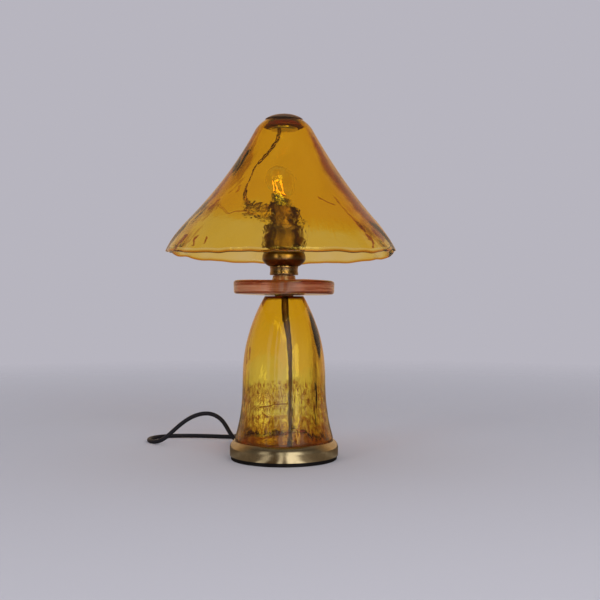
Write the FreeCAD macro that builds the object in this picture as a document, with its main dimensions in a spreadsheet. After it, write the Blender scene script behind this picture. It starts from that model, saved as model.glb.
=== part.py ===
import FreeCAD, Part
import math
import os
import Sketcher

# A table lamp of blown amber glass: a bell-shaped foot glass on a spun brass base, a thick rose
# glass disc, a brass lampholder and a wide mushroom shade that one bent rod carries by its crown.
# Millimetres. Z is up, and the origin is the middle of the underside of the foot pad.

Vector = FreeCAD.Vector

# ---------------------------------------------------------------- driving dimensions
SIZES = [
    # foot and base
    ("pad_inset", 1.6, "edge of the foot pad inside the base's"),
    ("pad_thickness", 5.0, "foot pad"),
    ("base_radius", 75.6, "brass base, outside"),
    ("base_wall", 1.2, "spun brass sheet"),
    ("band_height", 12.0, "upright band of the brass base"),
    ("base_height", 21.0, "brass base, from the pad to its rim"),
    ("seat_depth", 3.5, "recess that holds the foot of the glass"),
    ("shoulder_bulge", 13.0, "radius of the shoulder's curve"),
    ("weight_inset", 6.2, "edge of the iron weight inside the foot glass's"),
    ("weight_thickness", 8.0, "iron weight"),
    ("base_washer_radius", 12.0, "washer under the weight"),
    ("washer_thickness", 1.0, "steel washers"),
    ("nut_across", 16.0, "hexagon nuts on the tube, across flats"),
    ("nut_height", 3.5, "hexagon nuts on the tube"),
    # threaded tube
    ("tube_radius", 5.0, "threaded tube, outside"),
    ("tube_bore", 3.6, "threaded tube, inside radius"),
    ("tube_clearance", 0.2, "radial gap round the tube in metal pieces"),
    ("glass_clearance", 0.6, "radial gap round the tube in glass pieces"),
    ("tube_tail", 1.0, "tube below its lower nut"),
    ("tube_head", 5.0, "tube above the floor of the holder dome"),
    # foot glass
    ("gasket_thickness", 0.8, "soft rings between glass and metal"),
    ("seat_gap", 0.4, "radial gap round the foot of the glass"),
    ("glass_foot_radius", 68.2, "foot glass, outside, at its lower edge"),
    ("glass_foot_band", 6.0, "upright lower edge of the foot glass"),
    ("glass_waist_radius", 57.8, "foot glass, outside, at its waist"),
    ("glass_waist_low", 80.0, "waist's lower end above the glass's edge"),
    ("glass_waist_high", 89.0, "waist's upper end above the glass's edge"),
    ("glass_height", 203.2, "foot glass"),
    ("glass_top_radius", 27.0, "foot glass, outside, at its top"),
    ("glass_flare_curve", 266.0, "hollow curve from foot to waist"),
    ("glass_body_curve", 228.0, "full curve from waist to top"),
    ("glass_wall", 3.6, "foot glass, side wall"),
    ("glass_crown", 9.0, "foot glass, thickness at its top"),
    ("glass_ceiling_radius", 26.0, "foot glass, inside, at its top"),
    # rose disc
    ("disc_radius", 70.35, "rose glass disc"),
    ("disc_thickness", 21.0, "rose glass disc at its middle"),
    ("disc_edge", 4.0, "rounding of the disc's edge"),
    ("disc_belly", 2.0, "fall of the disc's underside"),
    ("disc_seat_radius", 22.0, "flat middle of the disc's underside"),
    ("neck_height", 7.0, "neck on the disc"),
    ("neck_foot_radius", 16.8, "neck where it leaves the disc"),
    ("neck_top_radius", 15.5, "neck at its top"),
    ("washer_radius", 13.0, "soft washers on the tube"),
    # lampholder
    ("collar_radius", 19.9, "brass collar under the lampholder"),
    ("collar_height", 12.3, "brass collar"),
    ("collar_wall", 1.5, "brass collar"),
    ("dome_foot_radius", 21.5, "holder dome at its floor"),
    ("dome_radius", 30.3, "holder dome at its widest"),
    ("dome_height", 18.5, "holder dome"),
    ("dome_belt_low", 9.0, "lower edge of the dome's widest belt"),
    ("dome_belt_high", 13.0, "upper edge of the dome's widest belt"),
    ("dome_wall", 1.4, "holder dome"),
    ("cup_radius", 28.5, "holder cup, outside"),
    ("cup_height", 43.8, "holder cup"),
    ("cup_edge", 3.5, "rounding of the cup's shoulder"),
    ("cup_wall", 1.1, "holder cup"),
    ("cup_wire_hole", 10.0, "hole for the cores in the cup's top"),
    ("sleeve_radius", 19.0, "lampholder sleeve, outside"),
    ("sleeve_height", 19.5, "lampholder sleeve"),
    ("sleeve_wall", 1.2, "lampholder sleeve"),
    ("insulator_floor", 1.2, "moulded floor under the bulb's contact"),
    ("insulator_height", 8.0, "moulded cup round the bulb's cap"),
    ("shell_bore", 13.4, "screw shell, inside radius"),
    ("shell_wall", 0.7, "screw shell"),
    ("shell_height", 9.5, "screw shell"),
    ("contact_radius", 4.0, "middle contact"),
    ("contact_thickness", 0.5, "middle contact"),
    ("terminal_size", 4.4, "terminal blocks"),
    ("terminal_offset", 7.0, "terminal blocks from the axis"),
    # push bar
    ("bar_radius", 1.75, "switch bar"),
    ("bar_height", 5.5, "switch bar above the cup's top"),
    ("bar_fit", 0.08, "radial running gap of the switch bar"),
    ("bar_reach", 10.0, "travel of the switch bar outside the sleeve"),
    ("bar_tip_radius", 2.5, "tips of the switch bar"),
    ("bar_tip_length", 2.2, "tips of the switch bar"),
    ("bar_end_gap", 0.3, "gap between a tip and the sleeve"),
    # bulb
    ("bulb_radius", 22.5, "bulb"),
    ("bulb_length", 69.0, "bulb, from its contact to its top"),
    ("bulb_wall", 0.8, "bulb glass"),
    ("bulb_neck_radius", 12.4, "bulb glass where it enters the cap"),
    ("bulb_neck_curve", 9.0, "hollow curve between neck and ball"),
    ("bulb_cap_radius", 13.0, "screw cap of the bulb"),
    ("bulb_cap_top", 22.5, "top of the screw cap above the contact"),
    ("bulb_cap_foot", 4.0, "foot of the screw cap above the contact"),
    ("bulb_cap_grip", 3.0, "bulb glass inside the cap"),
    ("bulb_cap_slope", 1.6, "sloped foot of the screw cap"),
    ("bulb_cap_floor", 0.6, "screw cap's floor"),
    ("bulb_tip_radius", 4.6, "middle contact of the bulb"),
    ("bulb_tip_height", 1.0, "middle contact of the bulb"),
    ("bulb_gap", 0.3, "gap between the bulb's contact and the holder's"),
    ("stem_radius", 4.6, "glass stem in the bulb"),
    ("stem_height", 13.0, "glass stem above the cap"),
    ("stem_tip_radius", 2.0, "glass stem at its top"),
    ("wire_radius", 0.45, "wire rings that hold the filaments"),
    ("filament_radius", 0.75, "filament rods"),
    ("filament_length", 19.0, "filament rods"),
    ("filament_circle", 8.0, "circle on which the filaments stand"),
    # arm and its clamp
    ("clamp_height", 6.0, "clamp ring"),
    ("clamp_lift", 10.5, "clamp ring above the cup's top"),
    ("clamp_wall", 2.8, "clamp ring"),
    ("clamp_gap", 0.1, "radial gap round the sleeve"),
    ("clamp_split", 2.4, "split between the clamp's ears"),
    ("ear_length", 7.5, "clamp ears beyond the ring"),
    ("ear_thickness", 2.6, "clamp ears"),
    ("lug_length", 4.0, "lug that takes the arm"),
    ("screw_radius", 1.5, "clamp screw"),
    ("screw_head_radius", 2.7, "clamp screw's head"),
    ("screw_head_height", 1.8, "clamp screw's head"),
    ("screw_nut_height", 2.2, "clamp screw's nut"),
    ("arm_radius", 2.3, "bent rod that carries the shade"),
    # shade and its crown
    ("shade_wall", 4.0, "shade glass"),
    ("shade_top", 473.0, "top of the shade glass"),
    ("shade_crown_radius", 25.0, "flat crown of the shade"),
    ("shade_neck_radius", 40.0, "where the crown's curve ends"),
    ("shade_neck_drop", 14.0, "where the crown's curve ends"),
    ("shade_knee_radius", 129.5, "where the long flank ends"),
    ("shade_knee_drop", 140.0, "where the long flank ends"),
    ("shade_rim_radius", 164.0, "lowest edge of the shade"),
    ("shade_drop", 194.5, "crown to the lowest edge"),
    ("crown_curve", 45.0, "full curve of the crown"),
    ("flank_curve", 642.0, "hollow curve of the flank"),
    ("skirt_curve", 150.0, "full curve of the skirt"),
    ("rim_rise", 10.5, "height of the rim's left side over its lowest place"),
    ("rim_shift", 60.0, "the rim's lowest place to the right of the axis"),
    ("shade_hole", 4.5, "hole in the crown, radius"),
    ("hub_radius", 20.0, "hub on top of the arm"),
    ("hub_height", 4.5, "hub on top of the arm"),
    ("plate_radius", 23.4, "plate under the shade glass, at its top"),
    ("plate_foot_radius", 28.0, "plate under the shade glass, at its foot"),
    ("plate_foot_band", 1.5, "upright lower edge of the plate"),
    ("plate_thickness", 6.0, "plate under the shade glass"),
    ("stud_radius", 3.0, "stud through the crown"),
    ("stud_fit", 0.06, "radial running gap of the nut on the stud"),
    ("stud_reach", 0.5, "stud above the cap's top hole"),
    ("cap_radius", 26.4, "dome cap on the crown"),
    ("cap_height", 6.2, "dome cap on the crown"),
    ("cap_wall", 0.9, "dome cap"),
    ("cap_flat_radius", 5.0, "flat top of the dome cap"),
    ("cap_curve", 34.0, "curve of the dome cap"),
    ("cap_nut_radius", 4.2, "button nut"),
    ("cap_nut_height", 1.5, "button nut"),
    ("cap_nut_round", 0.6, "rounding of the button nut"),
    # cord
    ("cord_radius", 3.15, "round black cord"),
    ("cord_height", 3.2, "middle of the cord where it lies"),
    ("gland_bearing", 131.0, "where the cord leaves the base, degrees from the right"),
    ("gland_height", 11.0, "middle of the cord's way out"),
    ("gland_length", 20.0, "strain relief outside the base"),
    ("gland_root_radius", 5.4, "strain relief at the base"),
    ("gland_tip_radius", 3.9, "strain relief at its tip"),
    ("gland_neck_radius", 4.4, "strain relief in the base's wall"),
    ("gland_flange", 5.6, "inner flange of the strain relief"),
    ("gland_flange_thickness", 2.0, "inner flange of the strain relief"),
    ("gland_gap", 0.1, "radial gap in the base's wall"),
    ("core_radius", 1.0, "insulated core of the lead"),
    ("core_bend", 3.6, "bend of a core into the tube"),
    ("core_spacing", 1.3, "half the distance between the cores"),
    ("coil_x", -36.0, "middle of the put-away coil"),
    ("coil_y", 126.0, "middle of the put-away coil"),
    ("coil_inner", 26.1, "innermost turn's radius"),
    ("coil_gap", 0.7, "gap between turns and between layers"),
    ("coil_layer_turns", 2.8125, "turns in each of the two layers"),
    ("plug_length", 36.0, "flat plug, body"),
    ("plug_rear_width", 14.0, "flat plug where the cord enters"),
    ("plug_width", 35.0, "flat plug at its face"),
    ("plug_thickness", 13.7, "flat plug"),
    ("plug_waist", 16.0, "length of the plug's tapered part"),
    ("pin_radius", 2.0, "plug pins"),
    ("pin_length", 19.0, "plug pins"),
    ("pin_spacing", 9.3, "half the distance between the pins"),
    ("plug_round", 3.0, "upright edges of the plug"),
    ("plug_lift", 0.05, "underside of the plug above the table"),
]

# The cord's way from the strain relief to the coil, and the arm's way from the clamp to the
# hub, as the corners of their runs. The arm's corners lie so far aside, and at such a share
# of its height.
CORD_ROUTE = [
    (-62.7, 72.2, 11.0), (-69.2, 79.6, 11.2), (-76.5, 87.2, 14.9), (-83.3, 93.4, 22.0),
    (-89.2, 97.6, 32.0), (-96.7, 101.0, 41.3), (-106.6, 103.6, 47.5), (-118.1, 106.1, 49.8),
    (-130.4, 108.0, 48.2), (-143.4, 109.6, 43.2), (-156.7, 111.0, 34.5), (-170.2, 112.7, 22.7),
    (-181.1, 115.0, 12.7), (-191.6, 118.8, 5.6), (-202.6, 125.6, 3.2), (-210.8, 136.4, 3.2),
    (-214.6, 150.0, 3.2), (-213.0, 164.5, 3.2), (-205.6, 177.0, 3.2), (-193.5, 185.6, 3.2),
    (-177.0, 190.2, 3.2), (-154.0, 191.0, 3.2), (-126.0, 187.6, 3.2), (-98.0, 181.6, 3.2),
    (-75.0, 175.8, 3.2), (-58.0, 172.4, 3.2),
]
ARM_ROUTE = [
    (-44.0, 0.0), (-58.5, 0.069), (-61.0, 0.227), (-55.5, 0.395), (-44.5, 0.553),
    (-29.5, 0.699), (-15.5, 0.804), (-7.0, 0.906),
]
# The way of the cord's last stretch: along, aside and above the table from the coil's end.
TAIL_ROUTE = [(8.0, 0.0, 10.0), (17.0, 1.0, 8.6), (26.0, 2.0, 6.9), (33.0, 2.0, 6.9)]
FILAMENT_COUNT = 6
# How far the shade's wall leans from upright at its corners, from the crown down.
CROWN_LEAN, NECK_LEAN, KNEE_LEAN, RIM_LEAN = (math.radians(lean) for lean in (60, 33, 43, 20))
ARC_SHARE = 0.45          # part of the shorter run that each arc of a route takes
FACET_DEFLECTION = 0.5    # how far the counted facets may leave the surface

LEFT, RIGHT = "left", "right"

DOC = FreeCAD.newDocument("MushroomTableLamp")
SHEET = DOC.addObject("Spreadsheet::Sheet", "Sizes")
NODES = {}


def fill_sheet():
    """Writes each driving dimension into its own cell, under its own name."""
    for row, (alias, size, note) in enumerate(SIZES, start=1):
        SHEET.set("A%d" % row, note)
        SHEET.set("B%d" % row, str(size))
        SHEET.setAlias("B%d" % row, alias)
    DOC.recompute()


def number(expression):
    """The value that an expression over the sheet's names has now."""
    return float(SHEET.evalExpression(expression))


def local(expression):
    """The same expression as other objects read it, with each name found in the sheet."""
    words = expression.replace("(", " ( ").replace(")", " ) ").split()
    names = [alias for alias, _, _ in SIZES]
    return " ".join("Sizes." + word if word in names else word for word in words)


def bind(item, prop, expression):
    item.setExpression(prop, local(expression))


def keep(name, item):
    """Registers a finished piece under its own name."""
    item.Label = name
    NODES[name] = item
    return item


# ---------------------------------------------------------------- heights, from the ground up
PAD_TOP = "pad_thickness"
PAD_RADIUS = "base_radius - pad_inset"
WEIGHT_RADIUS = "glass_foot_radius - weight_inset"
RIM = "pad_thickness + base_height"
SEAT = "pad_thickness + base_height - seat_depth"
WEIGHT_TOP = SEAT + " - base_wall"
WEIGHT_FOOT = WEIGHT_TOP + " - weight_thickness"
BASE_WASHER_FOOT = WEIGHT_FOOT + " - washer_thickness"
BASE_NUT_FOOT = BASE_WASHER_FOOT + " - nut_height"
TUBE_FOOT = BASE_NUT_FOOT + " - tube_tail"
GLASS_FOOT = SEAT + " + gasket_thickness"
GLASS_TOP = GLASS_FOOT + " + glass_height"
DISC_FOOT = GLASS_TOP + " + gasket_thickness"
DISC_TOP = DISC_FOOT + " + disc_thickness"
NECK_TOP = DISC_TOP + " + neck_height"
COLLAR_FOOT = NECK_TOP + " + gasket_thickness"
DOME_FOOT = COLLAR_FOOT + " + collar_height"
DOME_FLOOR = DOME_FOOT + " + dome_wall"
CUP_FOOT = DOME_FOOT + " + dome_height"
CUP_TOP = CUP_FOOT + " + cup_height"
SLEEVE_TOP = CUP_TOP + " + sleeve_height"
BAR = CUP_TOP + " + bar_height"
INSULATOR_FOOT = BAR + " + bar_radius + bar_end_gap"
CONTACT_FOOT = INSULATOR_FOOT + " + insulator_floor"
BULB_FOOT = CONTACT_FOOT + " + contact_thickness + bulb_gap"
BULB_TOP = BULB_FOOT + " + bulb_length"
BULB_MIDDLE = BULB_TOP + " - bulb_radius"
BULB_CAP_TOP = BULB_FOOT + " + bulb_cap_top"
CLAMP_FOOT = CUP_TOP + " + clamp_lift"
CLAMP_TOP = CLAMP_FOOT + " + clamp_height"
SHADE_TOP = "shade_top"
SHADE_CEILING = SHADE_TOP + " - shade_wall"
PLATE_TOP = SHADE_CEILING + " - gasket_thickness"
HUB_TOP = PLATE_TOP + " - plate_thickness"
HUB_FOOT = HUB_TOP + " - hub_height"
CAP_FOOT = SHADE_TOP + " + gasket_thickness"
CAP_TOP = CAP_FOOT + " + cap_height"
TUBE_HOLE = "tube_radius + tube_clearance"
GLASS_HOLE = "tube_radius + glass_clearance"


# ---------------------------------------------------------------- ways of making a piece
def origin_plane(body, role):
    return [item for item in body.Origin.OriginFeatures if item.Role == role][0]


def arc_between(start, end, radius, centre_side):
    """The arc from start to end with that radius, with its centre on the named side of the
    way from start to end."""
    chord = end - start
    half = chord.Length / 2
    rise = math.sqrt(max(radius * radius - half * half, 0.0))
    left = Vector(-chord.y, chord.x, 0).normalize()
    centre = (start + end) * 0.5 + left * (rise if centre_side == LEFT else -rise)
    first, last = (start, end) if centre_side == LEFT else (end, start)
    angle_first = math.atan2(first.y - centre.y, first.x - centre.x)
    angle_last = math.atan2(last.y - centre.y, last.x - centre.x)
    circle = Part.Circle(centre, Vector(0, 0, 1), radius)
    return Part.ArcOfCircle(circle, angle_first, angle_last)


def fix_corner(sketch, edge, end, name, corner):
    """Ties one end of an edge to its radius and height in the sheet."""
    for axis, kind, expression in ((-2, "DistanceX", corner[0]), (-1, "DistanceY", corner[1])):
        if expression == "0":
            sketch.addConstraint(Sketcher.Constraint("PointOnObject", edge, end, axis))
            continue
        constraint = Sketcher.Constraint(kind, -1, 1, edge, end, number(expression))
        sketch.addConstraint(constraint)
        label = "%s_%s" % (name, kind[-1].lower())
        sketch.renameConstraint(sketch.ConstraintCount - 1, label)
        bind(sketch, "Constraints." + label, expression)


def outline_sketch(body, name, plane, corners, closing=()):
    """A closed outline on one of the body's planes. Each corner is (across, up), or
    (across, up, bend, side) where the edge that ends there is an arc of that radius with
    its centre on that side of the way. The first corner ends the closing edge."""
    corners = [corners[0] + closing] + corners[1:]
    sketch = body.newObject("Sketcher::SketchObject", name)
    sketch.AttachmentSupport = [(origin_plane(body, plane), "")]
    sketch.MapMode = "FlatFace"
    places = [Vector(number(corner[0]), number(corner[1]), 0) for corner in corners]
    ends = []
    for index, corner in enumerate(corners):
        start, end = places[index - 1], places[index]
        if len(corner) == 4:
            arc = arc_between(start, end, number(corner[2]), corner[3])
            edge = sketch.addGeometry(arc, False)
            ends.append((edge, 1, 2) if corner[3] == LEFT else (edge, 2, 1))
        else:
            edge = sketch.addGeometry(Part.LineSegment(start, end), False)
            ends.append((edge, 1, 2))
    for index, corner in enumerate(corners):
        edge, _, last = ends[index]
        following, first, _ = ends[(index + 1) % len(ends)]
        sketch.addConstraint(Sketcher.Constraint("Coincident", edge, last, following, first))
        fix_corner(sketch, edge, last, "corner%d" % index, corner)
        if len(corner) == 4:
            sketch.addConstraint(Sketcher.Constraint("Radius", edge, number(corner[2])))
            sketch.renameConstraint(sketch.ConstraintCount - 1, "bend%d" % index)
            bind(sketch, "Constraints.bend%d" % index, corner[2])
    return sketch


def turned(name, corners, closing=()):
    """A piece turned about the lamp's axis, from its outline in radius and height."""
    body = DOC.addObject("PartDesign::Body", name)
    sketch = outline_sketch(body, name + "_outline", "XZ_Plane", corners, closing)
    turn = body.newObject("PartDesign::Revolution", name + "_turn")
    turn.Profile = sketch
    turn.ReferenceAxis = (sketch, ["V_Axis"])
    turn.Angle = 360
    body.Tip = turn
    return body


def ring(name, outer, inner, foot, top):
    """A plain turned ring."""
    return turned(name, [(inner, foot), (outer, foot), (outer, top), (inner, top)])


def rod(name, radius, length, place, direction):
    """A round rod of that length that starts at a place and points one way."""
    item = DOC.addObject("Part::Cylinder", name)
    bind(item, "Radius", radius)
    bind(item, "Height", length)
    item.Placement.Rotation = FreeCAD.Rotation(Vector(0, 0, 1), Vector(*direction))
    for axis, expression in zip("xyz", place):
        bind(item, "Placement.Base." + axis, expression)
    return item


def block(name, length, width, height, corner):
    item = DOC.addObject("Part::Box", name)
    bind(item, "Length", length)
    bind(item, "Width", width)
    bind(item, "Height", height)
    for axis, expression in zip("xyz", corner):
        bind(item, "Placement.Base." + axis, expression)
    return item


def cut(name, base, tools):
    """The base with each tool taken out of it."""
    for index, tool in enumerate(tools):
        item = DOC.addObject("Part::Cut", "%s_cut%d" % (name, index))
        item.Base = base
        item.Tool = tool
        base = item
    return base


def joined(name, pieces):
    item = DOC.addObject("Part::MultiFuse", name)
    item.Shapes = pieces
    return item


def hexagon_nut(name, across, height, foot, bore):
    """A plain hexagon nut on the lamp's axis."""
    prism = DOC.addObject("Part::Prism", name + "_hexagon")
    prism.Polygon = 6
    bind(prism, "Circumradius", "%s / %.6f" % (across, 2 * math.cos(math.pi / 6)))
    bind(prism, "Height", height)
    bind(prism, "Placement.Base.z", foot)
    hole = rod(name + "_bore", bore, height, ("0", "0", foot), (0, 0, 1))
    return cut(name, prism, [hole])


def set_shape(name, shape):
    """A piece whose shape follows a route in space, which no outline can give."""
    item = DOC.addObject("Part::Feature", name)
    item.Shape = shape
    return item


def unit(vector):
    return Vector(vector).normalize()


def rounded_path(name, corners, largest=1000.0):
    """Straight runs joined by tangent arcs, each as large as its two runs allow."""
    runs = [after - before for before, after in zip(corners, corners[1:])]
    edges = []
    radii = []
    here = corners[0]
    for before, after, corner in zip(runs, runs[1:], corners[1:]):
        half_turn = before.getAngle(after) / 2
        reach = min(ARC_SHARE * min(before.Length, after.Length), largest * math.tan(half_turn))
        radius = reach / math.tan(half_turn)
        start = corner - unit(before) * reach
        end = corner + unit(after) * reach
        inward = unit(unit(after) - unit(before))
        middle = corner + inward * (radius / math.cos(half_turn) - radius)
        edges.append(Part.LineSegment(here, start).toShape())
        edges.append(Part.Arc(start, middle, end).toShape())
        radii.append(radius)
        here = end
    edges.append(Part.LineSegment(here, corners[-1]).toShape())
    print(name, "bend radii", " ".join("%.1f" % radius for radius in radii))
    return Part.Wire(edges)


def swept(name, path, radius):
    """A round tube along a path, with its volume set against section times length."""
    first = path.Edges[0]
    start = first.valueAt(first.FirstParameter)
    along = first.tangentAt(first.FirstParameter)
    section = Part.Wire([Part.makeCircle(radius, start, along)])
    tube = path.makePipeShell([section], True, False)
    expected = math.pi * radius * radius * path.Length
    print(name, "length %.1f volume share %.4f" % (path.Length, tube.Volume / expected))
    return tube


# ---------------------------------------------------------------- foot and brass base
def make_foot():
    keep("foot_pad", turned("foot_pad", [
        ("0", "0"), (PAD_RADIUS, "0"), (PAD_RADIUS, PAD_TOP), ("0", PAD_TOP)]))
    keep("glass_seat_gasket", ring(
        "glass_seat_gasket", "glass_foot_radius", "glass_foot_radius - glass_wall * 2",
        SEAT, GLASS_FOOT))


def make_brass_base():
    """A spun dish: an upright band, a round shoulder, and a recess for the foot glass."""
    recess = "glass_foot_radius + seat_gap"
    rim = recess + " + base_wall"
    inside = "base_radius - base_wall"
    shell = turned("brass_base_shell", [
        (inside, PAD_TOP),
        ("base_radius", PAD_TOP),
        ("base_radius", PAD_TOP + " + band_height"),
        (rim, RIM, "shoulder_bulge", LEFT),
        (recess, RIM),
        (recess, SEAT),
        (TUBE_HOLE, SEAT),
        (TUBE_HOLE, WEIGHT_TOP),
        (recess, WEIGHT_TOP),
        (inside, PAD_TOP + " + band_height - base_wall / 2"),
    ])
    bearing = math.radians(number("gland_bearing"))
    hole = rod("brass_base_cord_hole", "gland_neck_radius + gland_gap", "base_radius",
               ("0", "0", "gland_height"), (math.cos(bearing), math.sin(bearing), 0))
    keep("brass_base", cut("brass_base", shell, [hole]))


def make_base_fixings():
    keep("base_weight", ring(
        "base_weight", WEIGHT_RADIUS, TUBE_HOLE, WEIGHT_FOOT, WEIGHT_TOP))
    keep("base_washer", ring(
        "base_washer", "base_washer_radius", TUBE_HOLE, BASE_WASHER_FOOT, WEIGHT_FOOT))
    keep("base_nut", hexagon_nut(
        "base_nut", "nut_across", "nut_height", BASE_NUT_FOOT, "tube_radius"))
    keep("central_tube", ring(
        "central_tube", "tube_radius", "tube_bore", TUBE_FOOT, DOME_FLOOR + " + tube_head"))


# ---------------------------------------------------------------- blown glass
def make_base_glass():
    """A bell: upright foot, hollow flare, short waist, then one full curve to its top."""
    low = GLASS_FOOT + " + glass_waist_low"
    high = GLASS_FOOT + " + glass_waist_high"
    ceiling = GLASS_TOP + " - glass_crown"
    keep("base_glass", turned("base_glass", [
        ("glass_foot_radius - glass_wall", GLASS_FOOT),
        ("glass_foot_radius", GLASS_FOOT),
        ("glass_foot_radius", GLASS_FOOT + " + glass_foot_band"),
        ("glass_waist_radius", low, "glass_flare_curve", RIGHT),
        ("glass_waist_radius", high),
        ("glass_top_radius", GLASS_TOP, "glass_body_curve", LEFT),
        (GLASS_HOLE, GLASS_TOP),
        (GLASS_HOLE, ceiling),
        ("glass_ceiling_radius", ceiling),
        ("glass_waist_radius - glass_wall", high, "glass_body_curve", RIGHT),
        ("glass_waist_radius - glass_wall", low),
        ("glass_foot_radius - glass_wall", GLASS_FOOT + " + glass_foot_band",
         "glass_flare_curve", LEFT),
    ]))


def make_disc_glass():
    """A thick disc with rounded edges, a slightly hanging underside and a short neck."""
    edge = "disc_radius - disc_edge"
    low = DISC_FOOT + " + disc_belly"
    keep("disc_glass", turned("disc_glass", [
        (GLASS_HOLE, DISC_FOOT),
        ("disc_seat_radius", DISC_FOOT),
        (edge, low),
        ("disc_radius", low + " + disc_edge", "disc_edge", LEFT),
        ("disc_radius", DISC_TOP + " - disc_edge"),
        (edge, DISC_TOP, "disc_edge", LEFT),
        ("neck_foot_radius", DISC_TOP),
        ("neck_top_radius", NECK_TOP),
        (GLASS_HOLE, NECK_TOP),
    ]))
    keep("disc_washer", ring("disc_washer", "washer_radius", TUBE_HOLE, GLASS_TOP, DISC_FOOT))
    keep("neck_washer", ring("neck_washer", "washer_radius", TUBE_HOLE, NECK_TOP, COLLAR_FOOT))


# ---------------------------------------------------------------- lampholder
def make_holder_metal():
    collar_floor = COLLAR_FOOT + " + collar_wall"
    keep("holder_collar", turned("holder_collar", [
        (TUBE_HOLE, COLLAR_FOOT),
        ("collar_radius", COLLAR_FOOT),
        ("collar_radius", DOME_FOOT),
        ("collar_radius - collar_wall", DOME_FOOT),
        ("collar_radius - collar_wall", collar_floor),
        (TUBE_HOLE, collar_floor),
    ]))
    low = DOME_FOOT + " + dome_belt_low"
    high = DOME_FOOT + " + dome_belt_high"
    keep("holder_dome", turned("holder_dome", [
        (TUBE_HOLE, DOME_FOOT),
        ("dome_foot_radius", DOME_FOOT),
        ("dome_radius", low, "dome_belt_low + dome_belt_high", LEFT),
        ("dome_radius", high),
        ("cup_radius", CUP_FOOT, "dome_belt_high", LEFT),
        ("cup_radius - dome_wall", CUP_FOOT),
        ("dome_radius - dome_wall", high, "dome_belt_high", RIGHT),
        ("dome_radius - dome_wall", low),
        ("dome_foot_radius - dome_wall", DOME_FLOOR, "dome_belt_low + dome_belt_high", RIGHT),
        (TUBE_HOLE, DOME_FLOOR),
    ]))
    keep("holder_nut", hexagon_nut(
        "holder_nut", "nut_across", "nut_height", DOME_FLOOR, "tube_radius"))
    shoulder = CUP_TOP + " - cup_edge"
    ceiling = CUP_TOP + " - cup_wall"
    keep("holder_cup", turned("holder_cup", [
        ("cup_radius - cup_wall", CUP_FOOT),
        ("cup_radius", CUP_FOOT),
        ("cup_radius", shoulder),
        ("cup_radius - cup_edge", CUP_TOP, "cup_edge", LEFT),
        ("cup_wire_hole", CUP_TOP),
        ("cup_wire_hole", ceiling),
        ("cup_radius - cup_edge", ceiling),
        ("cup_radius - cup_wall", shoulder, "cup_edge - cup_wall", RIGHT),
    ]))


def make_lampholder():
    """The sleeve with its moulded cup, screw shell and contacts, and the push bar's holes."""
    blank = ring("sleeve_blank", "sleeve_radius", "sleeve_radius - sleeve_wall",
                 CUP_TOP, SLEEVE_TOP)
    way = rod("sleeve_bar_way", "bar_radius + bar_fit", "sleeve_radius * 4",
              ("0 - sleeve_radius * 2", "0", BAR), (1, 0, 0))
    keep("lampholder_sleeve", cut("lampholder_sleeve", blank, [way]))
    seat = "shell_bore + shell_wall + bar_fit"
    bore = "sleeve_radius - sleeve_wall - clamp_gap"
    top = INSULATOR_FOOT + " + insulator_height"
    keep("lampholder_insulator", turned("lampholder_insulator", [
        ("0", INSULATOR_FOOT), (bore, INSULATOR_FOOT), (bore, top), (seat, top),
        (seat, CONTACT_FOOT), ("0", CONTACT_FOOT)]))
    keep("screw_shell", ring("screw_shell", "shell_bore + shell_wall", "shell_bore",
                             CONTACT_FOOT, CONTACT_FOOT + " + shell_height"))
    keep("centre_contact", rod("centre_contact", "contact_radius", "contact_thickness",
                               ("0", "0", CONTACT_FOOT), (0, 0, 1)))
    terminals = []
    for side in ("terminal_offset", "0 - terminal_offset"):
        corner = ("0 - terminal_size / 2", side + " - terminal_size / 2",
                  INSULATOR_FOOT + " - terminal_size")
        terminals.append(block("terminal_block", "terminal_size", "terminal_size",
                               "terminal_size", corner))
    group = DOC.addObject("Part::Compound", "terminals")
    group.Links = terminals
    keep("terminals", group)


def make_switch_bar():
    """A push bar through the sleeve: a tip at each end stops it on the sleeve."""
    left = "0 - sleeve_radius - bar_end_gap"
    length = "sleeve_radius * 2 + bar_end_gap * 2 + bar_reach"
    keep("switch_bar", rod("switch_bar", "bar_radius", length, (left, "0", BAR), (1, 0, 0)))
    tips = []
    for start in (left + " - bar_tip_length", "sleeve_radius + bar_end_gap + bar_reach"):
        tips.append(rod("bar_tip", "bar_tip_radius", "bar_tip_length",
                        (start, "0", BAR), (1, 0, 0)))
    group = DOC.addObject("Part::Compound", "switch_bar_tips")
    group.Links = tips
    keep("switch_bar_tips", group)


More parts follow.
